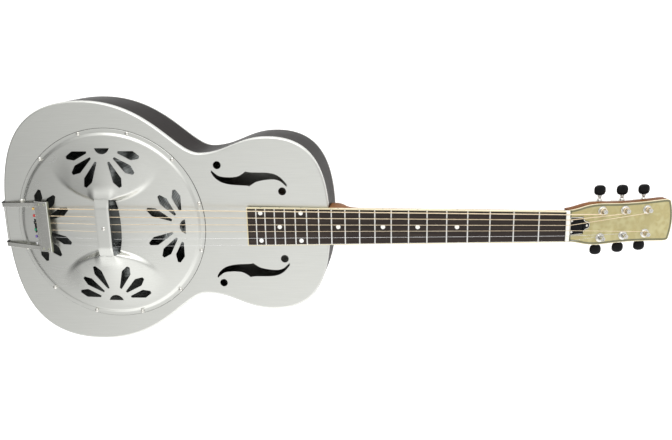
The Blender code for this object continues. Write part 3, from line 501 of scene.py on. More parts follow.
# ---------- body
LOWER_X, LOWER_HALF, WAIST_X, WAIST_HALF = -0.0350, 0.1773, 0.1323, 0.1028
UPPER_X, UPPER_HALF = 0.2281, 0.1251
CURVES = (                      # quarter curves of half the outline, each with its two handle points
    ((TAIL_X, 0.0), (TAIL_X, 0.1092), (LOWER_X - 0.1001, LOWER_HALF), (LOWER_X, LOWER_HALF)),
    ((LOWER_X, LOWER_HALF), (LOWER_X + 0.0979, LOWER_HALF),
     (WAIST_X - 0.0352, WAIST_HALF), (WAIST_X, WAIST_HALF)),
    ((WAIST_X, WAIST_HALF), (WAIST_X + 0.0392, WAIST_HALF),
     (UPPER_X - 0.0406, UPPER_HALF), (UPPER_X, UPPER_HALF)),
    ((UPPER_X, UPPER_HALF), (UPPER_X + 0.0652, UPPER_HALF), (HEEL_X, 0.0801), (HEEL_X, 0.0)),
)


def body_outline(count=36):
    half = []
    for a, b, c, d in CURVES:
        for i in range(count):
            t = i / count
            s = 1 - t
            weights = (s ** 3, 3 * s * s * t, 3 * s * t * t, t ** 3)
            half.append(tuple(sum(w * p[k] for w, p in zip(weights, (a, b, c, d))) for k in (0, 1)))
    half.append((HEEL_X, 0.0))
    return [(x, -y) for x, y in half] + half[-2:0:-1]


def rolled_plate(outline, outer, inward):
    """A flat sheet whose edge rolls over the sides; inward is +1 or -1 along Z."""
    steps = 8
    profile = []
    for radius in (EDGE_RADIUS, EDGE_RADIUS - SHEET):
        turns = [pi / 2 * i / steps for i in range(steps + 1)]
        bend = [(EDGE_RADIUS - radius * sin(t), EDGE_RADIUS - radius * cos(t)) for t in turns]
        lip = [(EDGE_RADIUS - radius, LIP_DEPTH)]
        profile += bend + lip if radius == EDGE_RADIUS else lip + bend[::-1]
    return loft([[(x, y, outer + inward * z) for x, y in inset(outline, d)] for d, z in profile])


F_HOLE = (                      # four edges of the bass-side f-hole, between its tips and notch points
    ((0.1488, 0.0790), (0.1532, 0.0748), (0.1600, 0.0705), (0.1720, 0.0690), (0.1840, 0.0698),
     (0.1910, 0.0728), (0.1970, 0.0772)),
    ((0.1970, 0.0772), (0.2030, 0.0760), (0.2150, 0.0757), (0.2280, 0.0753), (0.2390, 0.0728),
     (0.2475, 0.0672), (0.2560, 0.0570)),
    ((0.2542, 0.0554), (0.2500, 0.0595), (0.2450, 0.0635), (0.2370, 0.0658), (0.2250, 0.0652),
     (0.2130, 0.0628), (0.2065, 0.0595), (0.2015, 0.0560)),
    ((0.2015, 0.0560), (0.1985, 0.0570), (0.1880, 0.0576), (0.1750, 0.0586), (0.1640, 0.0612),
     (0.1570, 0.0650), (0.1512, 0.0705), (0.1474, 0.0774)),
)
F_HOLE_EYES = ((0.157, 0.0862), (0.2478, 0.0490))
EYE_RADIUS = 0.0056
F_HOLE_SHIFT = 0.0009
CONE_HOLE_RADIUS = 0.124


def make_body():
    outline = body_outline()
    top = bare_object("top_plate", rolled_plate(outline, TOP_Z, -1))
    holes = [turned(((CONE_HOLE_RADIUS, TOP_Z - 0.01), (CONE_HOLE_RADIUS, TOP_Z + 0.01)), 96)]
    holes[0].transform(Matrix.Translation((COVER_X, 0, 0)))
    for side in (1, -1):
        hole = []
        for edge in F_HOLE:
            hole += smooth_path(edge, 5)[:-1]
        holes.append(extruded([(x + F_HOLE_SHIFT, side * y) for x, y in hole], TOP_Z - 0.005, TOP_Z + 0.005))
        for x, y in F_HOLE_EYES:
            eye = turned(((EYE_RADIUS, TOP_Z - 0.005), (EYE_RADIUS, TOP_Z + 0.005)), 40)
            eye.transform(Matrix.Translation((x + F_HOLE_SHIFT, side * y, 0)))
            holes.append(eye)
    carve(top, merged(holes))
    finished(top, "top", "bell_metal", replaces=["body_top"], flat_first=True)
    piece("back_plate", rolled_plate(outline, 0.0, 1), "top", "bell_metal", replaces=["body_back"],
          flat_first=True)
    groove = 0.0002
    profile = ((groove, LIP_DEPTH - 0.0005), (groove, LIP_DEPTH), (0.0, LIP_DEPTH + groove),
               (0.0, TOP_Z - LIP_DEPTH - groove), (groove, TOP_Z - LIP_DEPTH),
               (groove, TOP_Z - LIP_DEPTH + 0.0005),
               (SHEET, TOP_Z - LIP_DEPTH + 0.0005), (SHEET, LIP_DEPTH - 0.0005))
    rings = [[(x, y, z) for x, y in inset(outline, d)] for d, z in profile]
    piece("side_band", loft(rings, close_loop=True), "sides", "bell_metal", replaces=["body_sides"])


# ---------- cover plate and cone
STEP_OUT, STEP_IN = 0.1340, 0.1290
LOBE_Y, LOBE_RADIUS = 0.1307, 0.0952
STEP_RISE, DOME_RISE, LOBE_RISE = 0.0026, 0.0046, 0.0118
LOBE_PEAK_Y, LOBE_FALL, LOBE_WALL = 0.0345, 0.088, 0.0078    # its peak, length of slope, width of wall
STRAP_X, STRAP_HALF_WIDTH, STRAP_TOP, STRAP_END = -0.0054, 0.0104, 0.0240, 0.0405
STRAP_FLAT, STRAP_BEND, STRAP_SLOPE = 0.0265, 0.004, 0.30
SLOT_EDGE_X = -0.0172
FAN_X, FAN_Y, FAN_REACH = -0.0043, -0.0010, 0.1128
PETALS = ((25.5, 0.0210, 0.0600), (51.5, 0.0215, 0.0575), (76.0, 0.0235, 0.0550))    # lean, start and tip
HALF_DISC_RADIUS = 0.0111


def arch(y):
    """Top of the palm rest: flat in the middle, then sloping to the lobes."""
    beyond = max(abs(y) - STRAP_FLAT, 0.0)
    bend = min(beyond, STRAP_BEND)
    return STRAP_TOP - STRAP_SLOPE * (bend * bend / (2 * STRAP_BEND) + beyond - bend)


def lobe_height(x, y):
    """Outer surface of the pressed plate above the top, without the palm rest."""
    r = hypot(x - COVER_X, y)
    low = SHEET + 0.0003
    height = low + STEP_RISE * ease((STEP_OUT - r) / (STEP_OUT - STEP_IN))
    height += DOME_RISE * (1 - (min(r, STEP_IN) / STEP_IN) ** 2)
    side = abs(y)
    inside = LOBE_RADIUS - hypot(x - COVER_X, side - LOBE_Y)
    away = hypot((x - COVER_X) / 1.3, side - LOBE_PEAK_Y) / LOBE_FALL
    rise = LOBE_RISE * max(1 - away, 0.0) ** 1.6
    return height + rise * ease((inside + 0.0005) / LOBE_WALL) * ease((0.084 - abs(x - COVER_X)) / 0.036)


def strap_height(x, y):
    """The palm rest, which sinks into the plate past its ends."""
    low = lobe_height(x, y)
    return low + max(0.0, arch(y) - low) * (1 - ease((abs(y) - 0.046) / 0.016))


def cover_height(x, y):
    """The plate with its swells under the palm rest's two ends."""
    low = lobe_height(x, y)
    beside = 1 - ease((abs(x - STRAP_X) - STRAP_HALF_WIDTH) / 0.012)
    return low + (strap_height(x, y) - low) * beside * ease((abs(y) - 0.0365) / 0.005)


def petal(angle, centre, start, tip):
    """A petal's outline, pointed at the fan's middle and widest near its outer end."""
    half = ((start, 0.0015), (tip - 0.0105, 0.0066), (tip, 0.0020))
    points = [(d, -w) for d, w in half] + [(d, w) for d, w in reversed(half)]
    c, s = cos(angle), sin(angle)
    return rounded([(centre[0] + d * c - w * s, centre[1] + d * s + w * c) for d, w in points], 0.0009, 3)


def make_cover():
    sectors, rows = 240, []
    radii = [0.0008 + 0.1266 * i / 74 for i in range(75)]
    radii += [STEP_IN + (STEP_OUT + 0.0002 - STEP_IN) * i / 7 for i in range(8)]
    radii += [0.1370, 0.1386, COVER_RADIUS]
    for r in radii:
        turns = [2 * pi * i / sectors for i in range(sectors)]
        points = [(COVER_X + r * cos(t), r * sin(t)) for t in turns]
        drop = 0.0004 if r == COVER_RADIUS else 0.0
        rows.append([(x, y, TOP_Z + cover_height(x, y) - drop) for x, y in points])
    below = [[(x, y, z - SHEET) for x, y, z in row] for row in rows]
    cover = bare_object("cover", loft(rows + below[::-1]))

    low, high = TOP_Z - 0.01, TOP_Z + 0.04
    end = STRAP_END
    edge = STRAP_X + STRAP_HALF_WIDTH
    half = ((0.0012, end), (0.0038, 0.0395), (0.0060, 0.0340), (0.0088, 0.0200), (0.0098, 0.0))
    bulge = [(edge + out, -y) for out, y in half] + [(edge + out, y) for out, y in half[-2::-1]]
    slot = [(SLOT_EDGE_X, -end), (edge, -end)] + smooth_path(bulge, 4) + [(edge, end), (SLOT_EDGE_X, end)]
    tools = [extruded(slot, low, high)]
    for side in (1, -1):
        relief = turned(((0.0010, low), (0.0010, high)), 16)
        relief.transform(Matrix.Translation((STRAP_X - STRAP_HALF_WIDTH - 0.0007, side * end, 0)))
        tools.append(relief)
    for turn in range(4):
        away = turn * pi / 2
        centre = (FAN_X + FAN_REACH * cos(away), FAN_Y + FAN_REACH * sin(away))
        middle = (centre[0] + 0.0027 * cos(away), centre[1] + 0.0027 * sin(away))
        turns = [away + radians(t) for t in range(104, 257, 8)]
        disc = [(middle[0] + HALF_DISC_RADIUS * cos(t), middle[1] + HALF_DISC_RADIUS * sin(t)) for t in turns]
        tools.append(extruded(disc, low, high))
        for lean, start, tip in PETALS:
            for side in (1, -1):
                tools.append(extruded(petal(away + pi + side * radians(lean), centre, start, tip), low, high))
    carve(cover, merged(tools))
    finished(cover, "cover", "bell_metal", replaces=["cover_plate"], sharp=40.0)
    # A thin near-black ring in the angle between the cover's edge and the top: a painted shadow of the gap
    # under the cover.
    shadow_loop = ((-0.0003, 0.0001), (-0.0003, 0.0002), (0.0004, 0.0004), (0.0006, 0.0001))
    shadow_loop = turned([(COVER_RADIUS + out, TOP_Z + up) for out, up in shadow_loop], 160, ring=True)
    piece("cover_rim_shadow_ring", shadow_loop, "shade_black", "bell_metal", Matrix.Translation((COVER_X, 0, 0)))
    make_palm_rest()


def make_palm_rest():
    """The strap over the strings, a bent sheet whose front and rear edges fall off a little."""
    rings = []
    for i in range(61):
        y = (STRAP_END + 0.0004) * (i / 30 - 1)
        row = []
        for k in range(13):
            x = STRAP_X + STRAP_HALF_WIDTH * (k / 6 - 1)
            fall = {0: 0.0001, 12: 0.0005}.get(k, 0.0)
            row.append((x, y, TOP_Z + strap_height(x, y) - fall * (1 - ease((abs(y) - 0.030) / 0.01))))
        rings.append(row + [(x, y, z - SHEET) for x, y, z in row[::-1]])
    piece("palm_rest", loft(rings), "cover", "bell_metal", sharp=40.0)


def screw_head(radius, height, slot=True):
    """A domed head with a slot, its seat at z = 0."""
    profile = [(radius, -0.0008), (radius, height * 0.25)]
    for i in range(1, 6):
        angle = pi / 2 * i / 6
        profile.append((radius * cos(angle), height * (0.25 + 0.75 * sin(angle))))
    head = turned(profile, 24)
    if not slot:
        return head
    made = bare_object("screw", head)
    w = radius * 0.13
    carve(made, extruded([(-radius, -w), (radius, -w), (radius, w), (-radius, w)], height * 0.62, height * 2))
    head = bmesh.new()
    head.from_mesh(made.data)
    bpy.data.objects.remove(made, do_unlink=True)
    return head


def place_screws(name, places, radius, height):
    """Copies of one screw head, each with its own turn, joined as one piece."""
    turns = [place @ Matrix.Rotation(2.4 * number, 4, "Z") for number, place in enumerate(places)]
    piece(name, copies(lambda: screw_head(radius, height), turns), "nickel", "nickel", sharp=40.0)


SCREW_CIRCLE = 0.1362
SCREW_SHIFT = (1.4, 1.0, 0.2, 0, 0, 0, 0, 0, 0, 0, 0.4, 0.8)    # degrees that a hand-drilled hole strays


def make_cover_screws():
    places = []
    for k in range(12):
        angle = radians(15 + 30 * k - SCREW_SHIFT[k])
        x, y = COVER_X + SCREW_CIRCLE * cos(angle), SCREW_CIRCLE * sin(angle)
        places.append(Matrix.Translation((x, y, TOP_Z + 0.0013)))
    place_screws("cover_screws", places, 0.0028, 0.0020)
    middle = Matrix.Translation((STRAP_X + 0.0005, 0, TOP_Z + STRAP_TOP))
    place_screws("palm_rest_screw", [middle], 0.0027, 0.0016)


CONE_REACH = 0.108


def make_cone():
    """The spun cone, with shallow rings between its crown and its rim."""
    low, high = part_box("resonator_cone")
    rim, crown, sheet = low[2], high[2], 0.0006
    profile = [(0.0035, crown - 0.0004)]
    for i in range(1, 41):
        fraction = i / 40
        wave = 0.00025 * sin(fraction * 30 * pi) * (1 if 0.25 < fraction < 0.95 else 0)
        height = rim + 0.0016 + (crown - rim - 0.0022) * (1 - fraction ** 1.35) + wave
        profile.append((CONE_REACH * fraction, height))
    profile += [(0.1100, rim + 0.0010), (0.1130, rim + 0.0008), (0.1205, rim + 0.0008)]
    under = [(r, z - sheet) for r, z in reversed(profile)]
    cone = turned(profile + under, 96, ring=True)
    piece("spun_cone", cone, "cone", "cone_aluminium", Matrix.Translation((COVER_X, 0, 0)),
          replaces=["resonator_cone"], sharp=60.0)


# ---------- tailpiece
PLATE_HALF, PLATE_SHEET = 0.037, 0.0013
PLATE_FRONT, PLATE_REAR = (-0.0872, 0.0193), (-0.1095, 0.0140)
ARM_HALF, ARM_FRONT_Y, ARM_TAIL_Y = 0.0032, 0.0330, 0.0295
ARM_SHEET, ARM_FRONT_X, ARM_RUN = 0.0014, -0.0900, 0.074
ARM_LINE = ((-0.0900, 0.0176), (-0.1095, 0.0131), (-0.1400, 0.0075), (-0.1605, 0.0034),
            (-0.1646, 0.0018), (-0.1662, -0.0008), (-0.1668, -0.0040), (-0.1672, -0.0100))


def strip(center_line, half_sheet, y_of, half):
    """A flat strap along a side-view line of (x, z), its middle at y_of(x), with rounded long edges."""
    rings = []
    count = len(center_line)
    for i, (x, z) in enumerate(center_line):
        before, after = center_line[max(i - 1, 0)], center_line[min(i + 1, count - 1)]
        dx, dz = after[0] - before[0], after[1] - before[1]
        length = hypot(dx, dz)
        nx, nz = -dz / length, dx / length
        ring = []
        edge = half_sheet * 0.6
        for across, lift in ((-half, -1), (-half, 1), (half, 1), (half, -1)):
            for step in range(3):
                angle = pi / 4 * step
                inner = edge * (1 - (sin(angle) if across * lift < 0 else cos(angle)))
                upper = edge * (1 - (cos(angle) if across * lift < 0 else sin(angle)))
                side = across - inner * (1 if across > 0 else -1)
                rise = lift * (half_sheet - upper)
                ring.append((x + nx * rise, y_of(x) + side, TOP_Z + z + nz * rise))
        rings.append(ring)
    return loft(rings)


def arm_y(x):
    """Sideways place of a strap, which runs in a little towards the tail."""
    return ARM_FRONT_Y + (ARM_TAIL_Y - ARM_FRONT_Y) * min(1.0, (ARM_FRONT_X - x) / ARM_RUN)


def make_tailpiece():
    """The plate with its rear lip and front fold, its two straps with rolled ends, and the rivets."""
    fx, fz = PLATE_FRONT
    rx, rz = PLATE_REAR
    line = [(rx + 0.0004, rz - 0.0062), (rx + 0.0004, rz - 0.0020), (rx + 0.0007, rz - 0.0009),
            (rx + 0.0018, rz - 0.0003), (fx - 0.0034, fz - 0.0012), (fx - 0.0021, fz - 0.0010),
            (fx - 0.0013, fz - 0.0014)]
    fold = [(fx - 0.0013, fz - 0.0014), (fx - 0.0008, fz - 0.0020), (fx - 0.0005, fz - 0.0030),
            (fx - 0.0003, fz - 0.0045)]
    parts, edges = [strip(smooth_path(line, 4), PLATE_SHEET / 2, lambda x: 0.0, PLATE_HALF)], []
    front = strip(smooth_path(fold, 4), PLATE_SHEET / 2, lambda x: 0.0, PLATE_HALF)
    # The front fold takes the darker, greenish nickel: painted shade and painted reflection.
    piece("tailpiece_fold", front, "fold", "nickel", body="tailpiece", sharp=50.0)
    hinge = JOINTS["tailpiece_hinge"]["pos_m"]
    path = smooth_path(ARM_LINE, 5)
    for side in (1, -1):
        parts.append(strip(path, ARM_SHEET / 2, lambda x: side * arm_y(x), ARM_HALF))
        # A thin near-black strip along each strap's +Y edge: painted shade.
        edges.append(strip(path, ARM_SHEET / 2 + 0.00004, lambda x: side * arm_y(x) + ARM_HALF, 0.0004))
        roll = turned(((0.0031, -ARM_HALF), (0.0031, ARM_HALF), (0.0017, ARM_HALF), (0.0017, -ARM_HALF)),
                      28, ring=True)
        roll.transform(along((0, 1, 0), (hinge[0], side * ARM_TAIL_Y, hinge[2])))
        parts.append(roll)
    piece("tailpiece_plate", merged(parts), "tail", "nickel", body="tailpiece", replaces=["tailpiece"],
          sharp=50.0)
    # The strap edge strips are painted shade.
    piece("tailpiece_arm_shade_strips", merged(edges), "shade_black", "nickel", body="tailpiece", sharp=50.0)
    slope = atan2(fz - rz, fx - rx)
    places = []
    for side in (1, -1):
        for x in (-0.0930, -0.1020):
            z = TOP_Z + rz + (x - rx) * (fz - rz) / (fx - rx) - 0.0003
            places.append(Matrix.Translation((x, side * 0.0328, z)) @ Matrix.Rotation(-slope, 4, "Y"))
    rivets = copies(lambda: screw_head(0.0016, 0.0011, slot=False), places)
    # The rivet heads take the darker fold nickel: painted shade.
    piece("tailpiece_rivets", rivets, "fold", "nickel", body="tailpiece")


# ---------- strings
BALL_X, BALL_Z = -0.1134, 0.0100
BALL_COLORS = ((0.70, 0.70, 0.70), (0.20, 0.14, 0.42), (0.02, 0.26, 0.14), (0.025, 0.03, 0.03),
               (0.55, 0.06, 0.06), (0.78, 0.52, 0.14))
STEPS_PER_TURN = 28


def string_y(number, spread):
    """Sideways place of a string, the first (thinnest) on the treble side."""
    return spread[0] * ((number - 1) / 5 - 0.5) + spread[1]


def make_strings():
    """Each string from its ball over the saddle and the nut to its turns on the tuner's post."""
    for number in range(1, 7):
        diameter = STRING_DIAMETERS[number - 1]
        radius = diameter / 2
        post = post_place(number)
        side = 1 if number > 3 else -1
        start = Vector((BALL_X, string_y(number, BALL_SPREAD), TOP_Z + BALL_Z))
        crown = Vector((COVER_X, string_y(number, SADDLE_SPREAD), TOP_Z + SADDLE_HEIGHT + radius))
        y = string_y(number, NUT_SPREAD)
        line = [start, crown]
        for x, z in ((SCALE_LENGTH - 0.001, 0.0012), (SCALE_LENGTH + NUT_LENGTH / 2, 0.0012),
                     (SCALE_LENGTH + NUT_LENGTH + 0.001, 0.0008)):
            line.append(NECK @ Vector((x, y, z + radius)))
        turns = 2 if number > 4 else 3
        pitch = diameter + 0.00003
        high = 0.0027 + radius + pitch * turns
        winding = POST_RADIUS + 0.0001 + radius
        for i in range(STEPS_PER_TURN * turns + 1):
            angle = side * (2 * pi * i / STEPS_PER_TURN - pi / 2)
            line.append(HEAD @ Vector((post.x + winding * cos(angle), post.y + winding * sin(angle),
                                       high - pitch * i / STEPS_PER_TURN)))
        metal = "bronze" if number > 2 else "steel"
        piece("string_wire_%d" % number, wire(line, radius, 10), metal, metal,
              replaces=["string_%d" % number], sharp=70.0)
        twist = [start + (crown - start).normalized() * d for d in (0.0017, 0.0022, 0.0080, 0.0090)]
        swell = (radius, radius * 1.4, radius * 1.3, radius)
        piece("string_twist_%d" % number, wire(twist, radius, 10, swell), metal, metal, sharp=70.0)
        color = BALL_COLORS[number - 1]
        paint = mottled("ball_paint_%d" % number, tuple(0.85 * c for c in color), color, 0.5, (0.25, 0.35),
                        900.0, depth=0.000005)
        drum = ((0.0016, -0.0016), (0.0019, -0.0012), (0.0015, 0.0), (0.0019, 0.0012), (0.0016, 0.0016),
                (0.0008, 0.0016), (0.0008, -0.0016))
        piece("ball_end_%d" % number, turned(drum, 28, ring=True), paint, "brass",
              along((0, 1, 0.15), start))


# ---------- fingerboard and nut
DOUBLE_DOT_Y = 0.0199


def board_half(x):
    return BOARD_HALF_NUT + (SCALE_LENGTH - x) * (BOARD_HALF_12 - BOARD_HALF_NUT) / (SCALE_LENGTH / 2)


def fret_x(number):
    return SCALE_LENGTH * 2 ** (-number / 12)


def between_frets(number):
    """The middle of the space behind a fret, where its dot lies."""
    return (fret_x(number) + fret_x(number - 1)) / 2


def make_fingerboard():
    start, end = BOARD_START + BINDING, SCALE_LENGTH
    board = [(start, -board_half(start)), (end, -board_half(end)),
             (end, board_half(end)), (start, board_half(start))]
    piece("fingerboard_wood", extruded(board, -BOARD_THICK, 0.0), "rosewood", "rosewood", NECK,
          replaces=["fingerboard"])
    inner = [(end, board_half(end)), (start, board_half(start))]
    outer = [(BOARD_START, board_half(BOARD_START) + BINDING), (end, board_half(end) + BINDING)]
    outline = inner + [(x, -y) for x, y in reversed(inner)] + [(x, -y) for x, y in reversed(outer)] + outer
    piece("board_binding", extruded(outline, -BOARD_THICK, 0.00005), "cream", "cream", NECK,
          replaces=["fingerboard_binding"])
    make_frets()

    places = [(between_frets(number), 0.0) for number in (5, 7, 9, 12, 17)]
    for number in (15, 19):
        places += [(between_frets(number), y) for y in (-DOUBLE_DOT_Y, DOUBLE_DOT_Y)]
    disc = ((0.0031, -0.0004), (0.0031, 0.00004), (0.0030, 0.00008))
    discs = copies(lambda: turned(disc, 32), [Matrix.Translation((x, y, 0)) for x, y in places])
    piece("position_dots", discs, "dot", "pearloid", NECK)
    places = []
    for number in (5, 7, 9, 12, 15, 17, 19):
        x = between_frets(number)
        places.append(along((0, 1, 0), (x, board_half(x) + BINDING, -0.0026)))
    dot = ((0.0010, -0.0003), (0.0010, 0.00005), (0.0009, 0.00008))
    piece("side_dots", copies(lambda: turned(dot, 20), places), "black", "black_plastic", NECK)


def make_frets():
    """Rounded wires whose ends fall off over the binding."""
    half, crown = 0.0012, 0.00105
    frets = []
    for number in range(1, FRET_COUNT + 1):
        x = fret_x(number)
        reach = board_half(x) + BINDING * 0.4
        rings = []
        for step in range(-7, 8):
            y = reach * step / 7
            shrink = 0.72 if abs(step) == 7 else 1.0
            ring = [(x + half * cos(pi * k / 8), y, crown * shrink * sin(pi * k / 8) ** 0.8 + 0.00002)
                    for k in range(9)]
            rings.append(ring + [(x - half, y, -0.0005), (x + half, y, -0.0005)])
        frets.append(loft(rings))
    piece("frets", merged(frets), "fret", "nickel", NECK, sharp=50.0)


def make_nut():
    """The nut, with a round-bottomed notch under each string."""
    half = BOARD_HALF_NUT + BINDING
    top = [(-half, -BOARD_THICK), (-half, 0.0008), (-half + 0.0008, 0.0017)]
    for number in range(1, 7):
        y, r = string_y(number, NUT_SPREAD), STRING_DIAMETERS[number - 1] / 2 + 0.00005
        top += [(y - r, 0.0021), (y - r, 0.0012 + r)]
        top += [(y - r * cos(pi * k / 4), 0.0012 + r - r * sin(pi * k / 4)) for k in (1, 2, 3)]
        top += [(y + r, 0.0012 + r), (y + r, 0.0021)]
    top += [(half - 0.0008, 0.0017), (half, 0.0008), (half, -BOARD_THICK)]
    ends = [(SCALE_LENGTH, 0.0003), (SCALE_LENGTH + 0.0004, 0.0), (SCALE_LENGTH + 0.0035, 0.0),
            (SCALE_LENGTH + NUT_LENGTH, 0.0009)]
    rings = [[(x, y, z - (drop if z > 0.0008 else 0.0)) for y, z in top] for x, drop in ends]
    piece("string_nut", loft(rings), "bone", "bone", NECK, replaces=["nut"], sharp=50.0)


# ---------- neck and headstock
def make_neck():
    """The neck shaft as smooth cross-sections from the heel to the nut."""
    top = -BOARD_THICK
    stations = (                # place along the neck, half width, depth and squareness
        (HEEL_X - 0.0010, 0.0258, 0.0660, 0.62), (0.3190, 0.0258, 0.0658, 0.64),
        (0.3270, 0.0258, 0.0640, 0.70), (0.3330, 0.0257, 0.0560, 0.78), (0.3385, 0.0256, 0.0420, 0.86),
        (0.3450, 0.0255, 0.0300, 0.92), (0.3540, 0.0253, 0.0220, 0.95), (0.3680, 0.0251, 0.0182, 0.96),
        (0.3950, 0.0248, 0.0169, 0.96), (0.4500, 0.0240, 0.0163, 0.96), (0.5200, 0.0231, 0.0156, 0.96),
        (0.5900, 0.0221, 0.0149, 0.96), (0.6200, 0.0218, 0.0147, 0.96), (0.6395, 0.0216, 0.0150, 0.96))
    rings = []
    for x, half, depth, squareness in smooth_path(stations, 6):
        ring = [(x, -half, top), (x, half, top)]
        for i in range(25):
            c, s = cos(pi * i / 24), sin(pi * i / 24)
            y = half * abs(c) ** squareness * (1 if c >= 0 else -1)
            ring.append((x, y, top - 0.0012 - (depth - 0.0012) * s ** squareness))
        rings.append(ring)
    shaft = loft(rings)
    shaft.transform(NECK)
    neck = bare_object("neck_wood", shaft)
    inside, face = HEEL_X - 0.05, HEEL_X + 0.0001
    carve(neck, extruded([(inside, -0.06), (face, -0.06), (face, 0.06), (inside, 0.06)], -0.05, 0.2))
    finished(neck, "mahogany", "mahogany", replaces=["neck"], sharp=55.0)
    wood_plate = slab(head_outline(0.0), -OVERLAY - HEAD_WOOD, -OVERLAY, 0.0012)
    piece("headstock_wood", wood_plate, "mahogany", "mahogany", HEAD, sharp=50.0)


def head_outline(start):
    """Plan of the headstock from a place just past the nut to its slightly bowed tip."""
    half = ((0.000, 0.0220), (0.008, 0.0231), (0.016, 0.0248), (0.024, 0.0268), (0.032, 0.0281),
            (0.041, 0.0288), (0.052, 0.0286), (0.072, 0.0277), (0.090, 0.0275), (0.108, 0.0279),
            (0.126, 0.0288), (0.140, 0.0296))
    right = [(x, -y) for x, y in smooth_path(half, 4)]
    corner = [(0.1448, -0.0294), (0.1476, -0.0284), (0.1490, -0.0266)]
    tip = [(HEAD_LENGTH - 0.0040 * (y / 0.0266) ** 2, y) for y in [-0.024 + 0.004 * k for k in range(13)]]
    left = [(x, -y) for x, y in reversed(right + corner)]
    outline = right + corner + tip + left
    return [(max(x, start), y) for x, y in outline]


def ring_strip(outline, outer, inner, low, high):
    """A flat band that follows an outline between two distances inside it."""
    a, b = inset(outline, outer), inset(outline, inner)
    rings = [[(x, y, low) for x, y in a], [(x, y, high) for x, y in a], [(x, y, high) for x, y in b],
             [(x, y, low) for x, y in b]]
    return loft(rings, close_loop=True)


def make_headstock():
    """The bound pearl face and the layered truss-rod cover."""
    outline = head_outline(0.0003)
    piece("head_binding", ring_strip(outline, 0.0, 0.0009, -OVERLAY, 0.0), "cream", "cream", HEAD,
          replaces=["headstock_binding"])
    line = ring_strip(outline, 0.0009, 0.0035, -OVERLAY, 0.00002)
    piece("head_line", line, "olive", "cream", HEAD)
    face = extruded(inset(outline, 0.0035), -OVERLAY, 0.0)
    piece("head_face", face, "pearl", "pearloid", HEAD, replaces=["headstock_overlay"])

    bell = [(0.0008, -0.0125), (0.0203, -0.0125)]
    bell += smooth_path([(0.0210, -0.0119), (0.0213, -0.0100), (0.0226, -0.0076), (0.0245, -0.0062),
                         (0.0266, -0.0056), (0.0286, -0.0046), (0.0300, -0.0028), (0.0305, 0.0)], 4)
    bell += [(x, -y) for x, y in bell[-2::-1]]
    layers = (("_base", 0.0, 0.0001, 0.0007, 0.0002, "black", ()),
              ("_edge", 0.0006, 0.0006, 0.0013, 0.0002, "bone", ()),
              ("", 0.0016, 0.0011, 0.0021, 0.0003, "black", ["truss_rod_cover"]))
    for word, step, low, high, edge, look, node in layers:
        layer = slab(inset(bell, step), low, high, edge)
        piece("rod_cover" + word, layer, look, "black_plastic", HEAD, replaces=node, sharp=50.0)
    corners = ((0.0032, 0.0078), (0.0032, -0.0078), (0.0252, 0.0))
    spots = [HEAD @ Matrix.Translation((x, y, 0.0021)) for x, y in corners]
    place_screws("rod_cover_screws", spots, 0.0017, 0.0011)


# ---------- tuners
CAN_LOW = -0.0285               # outer face of a tuner's can, below the headstock face


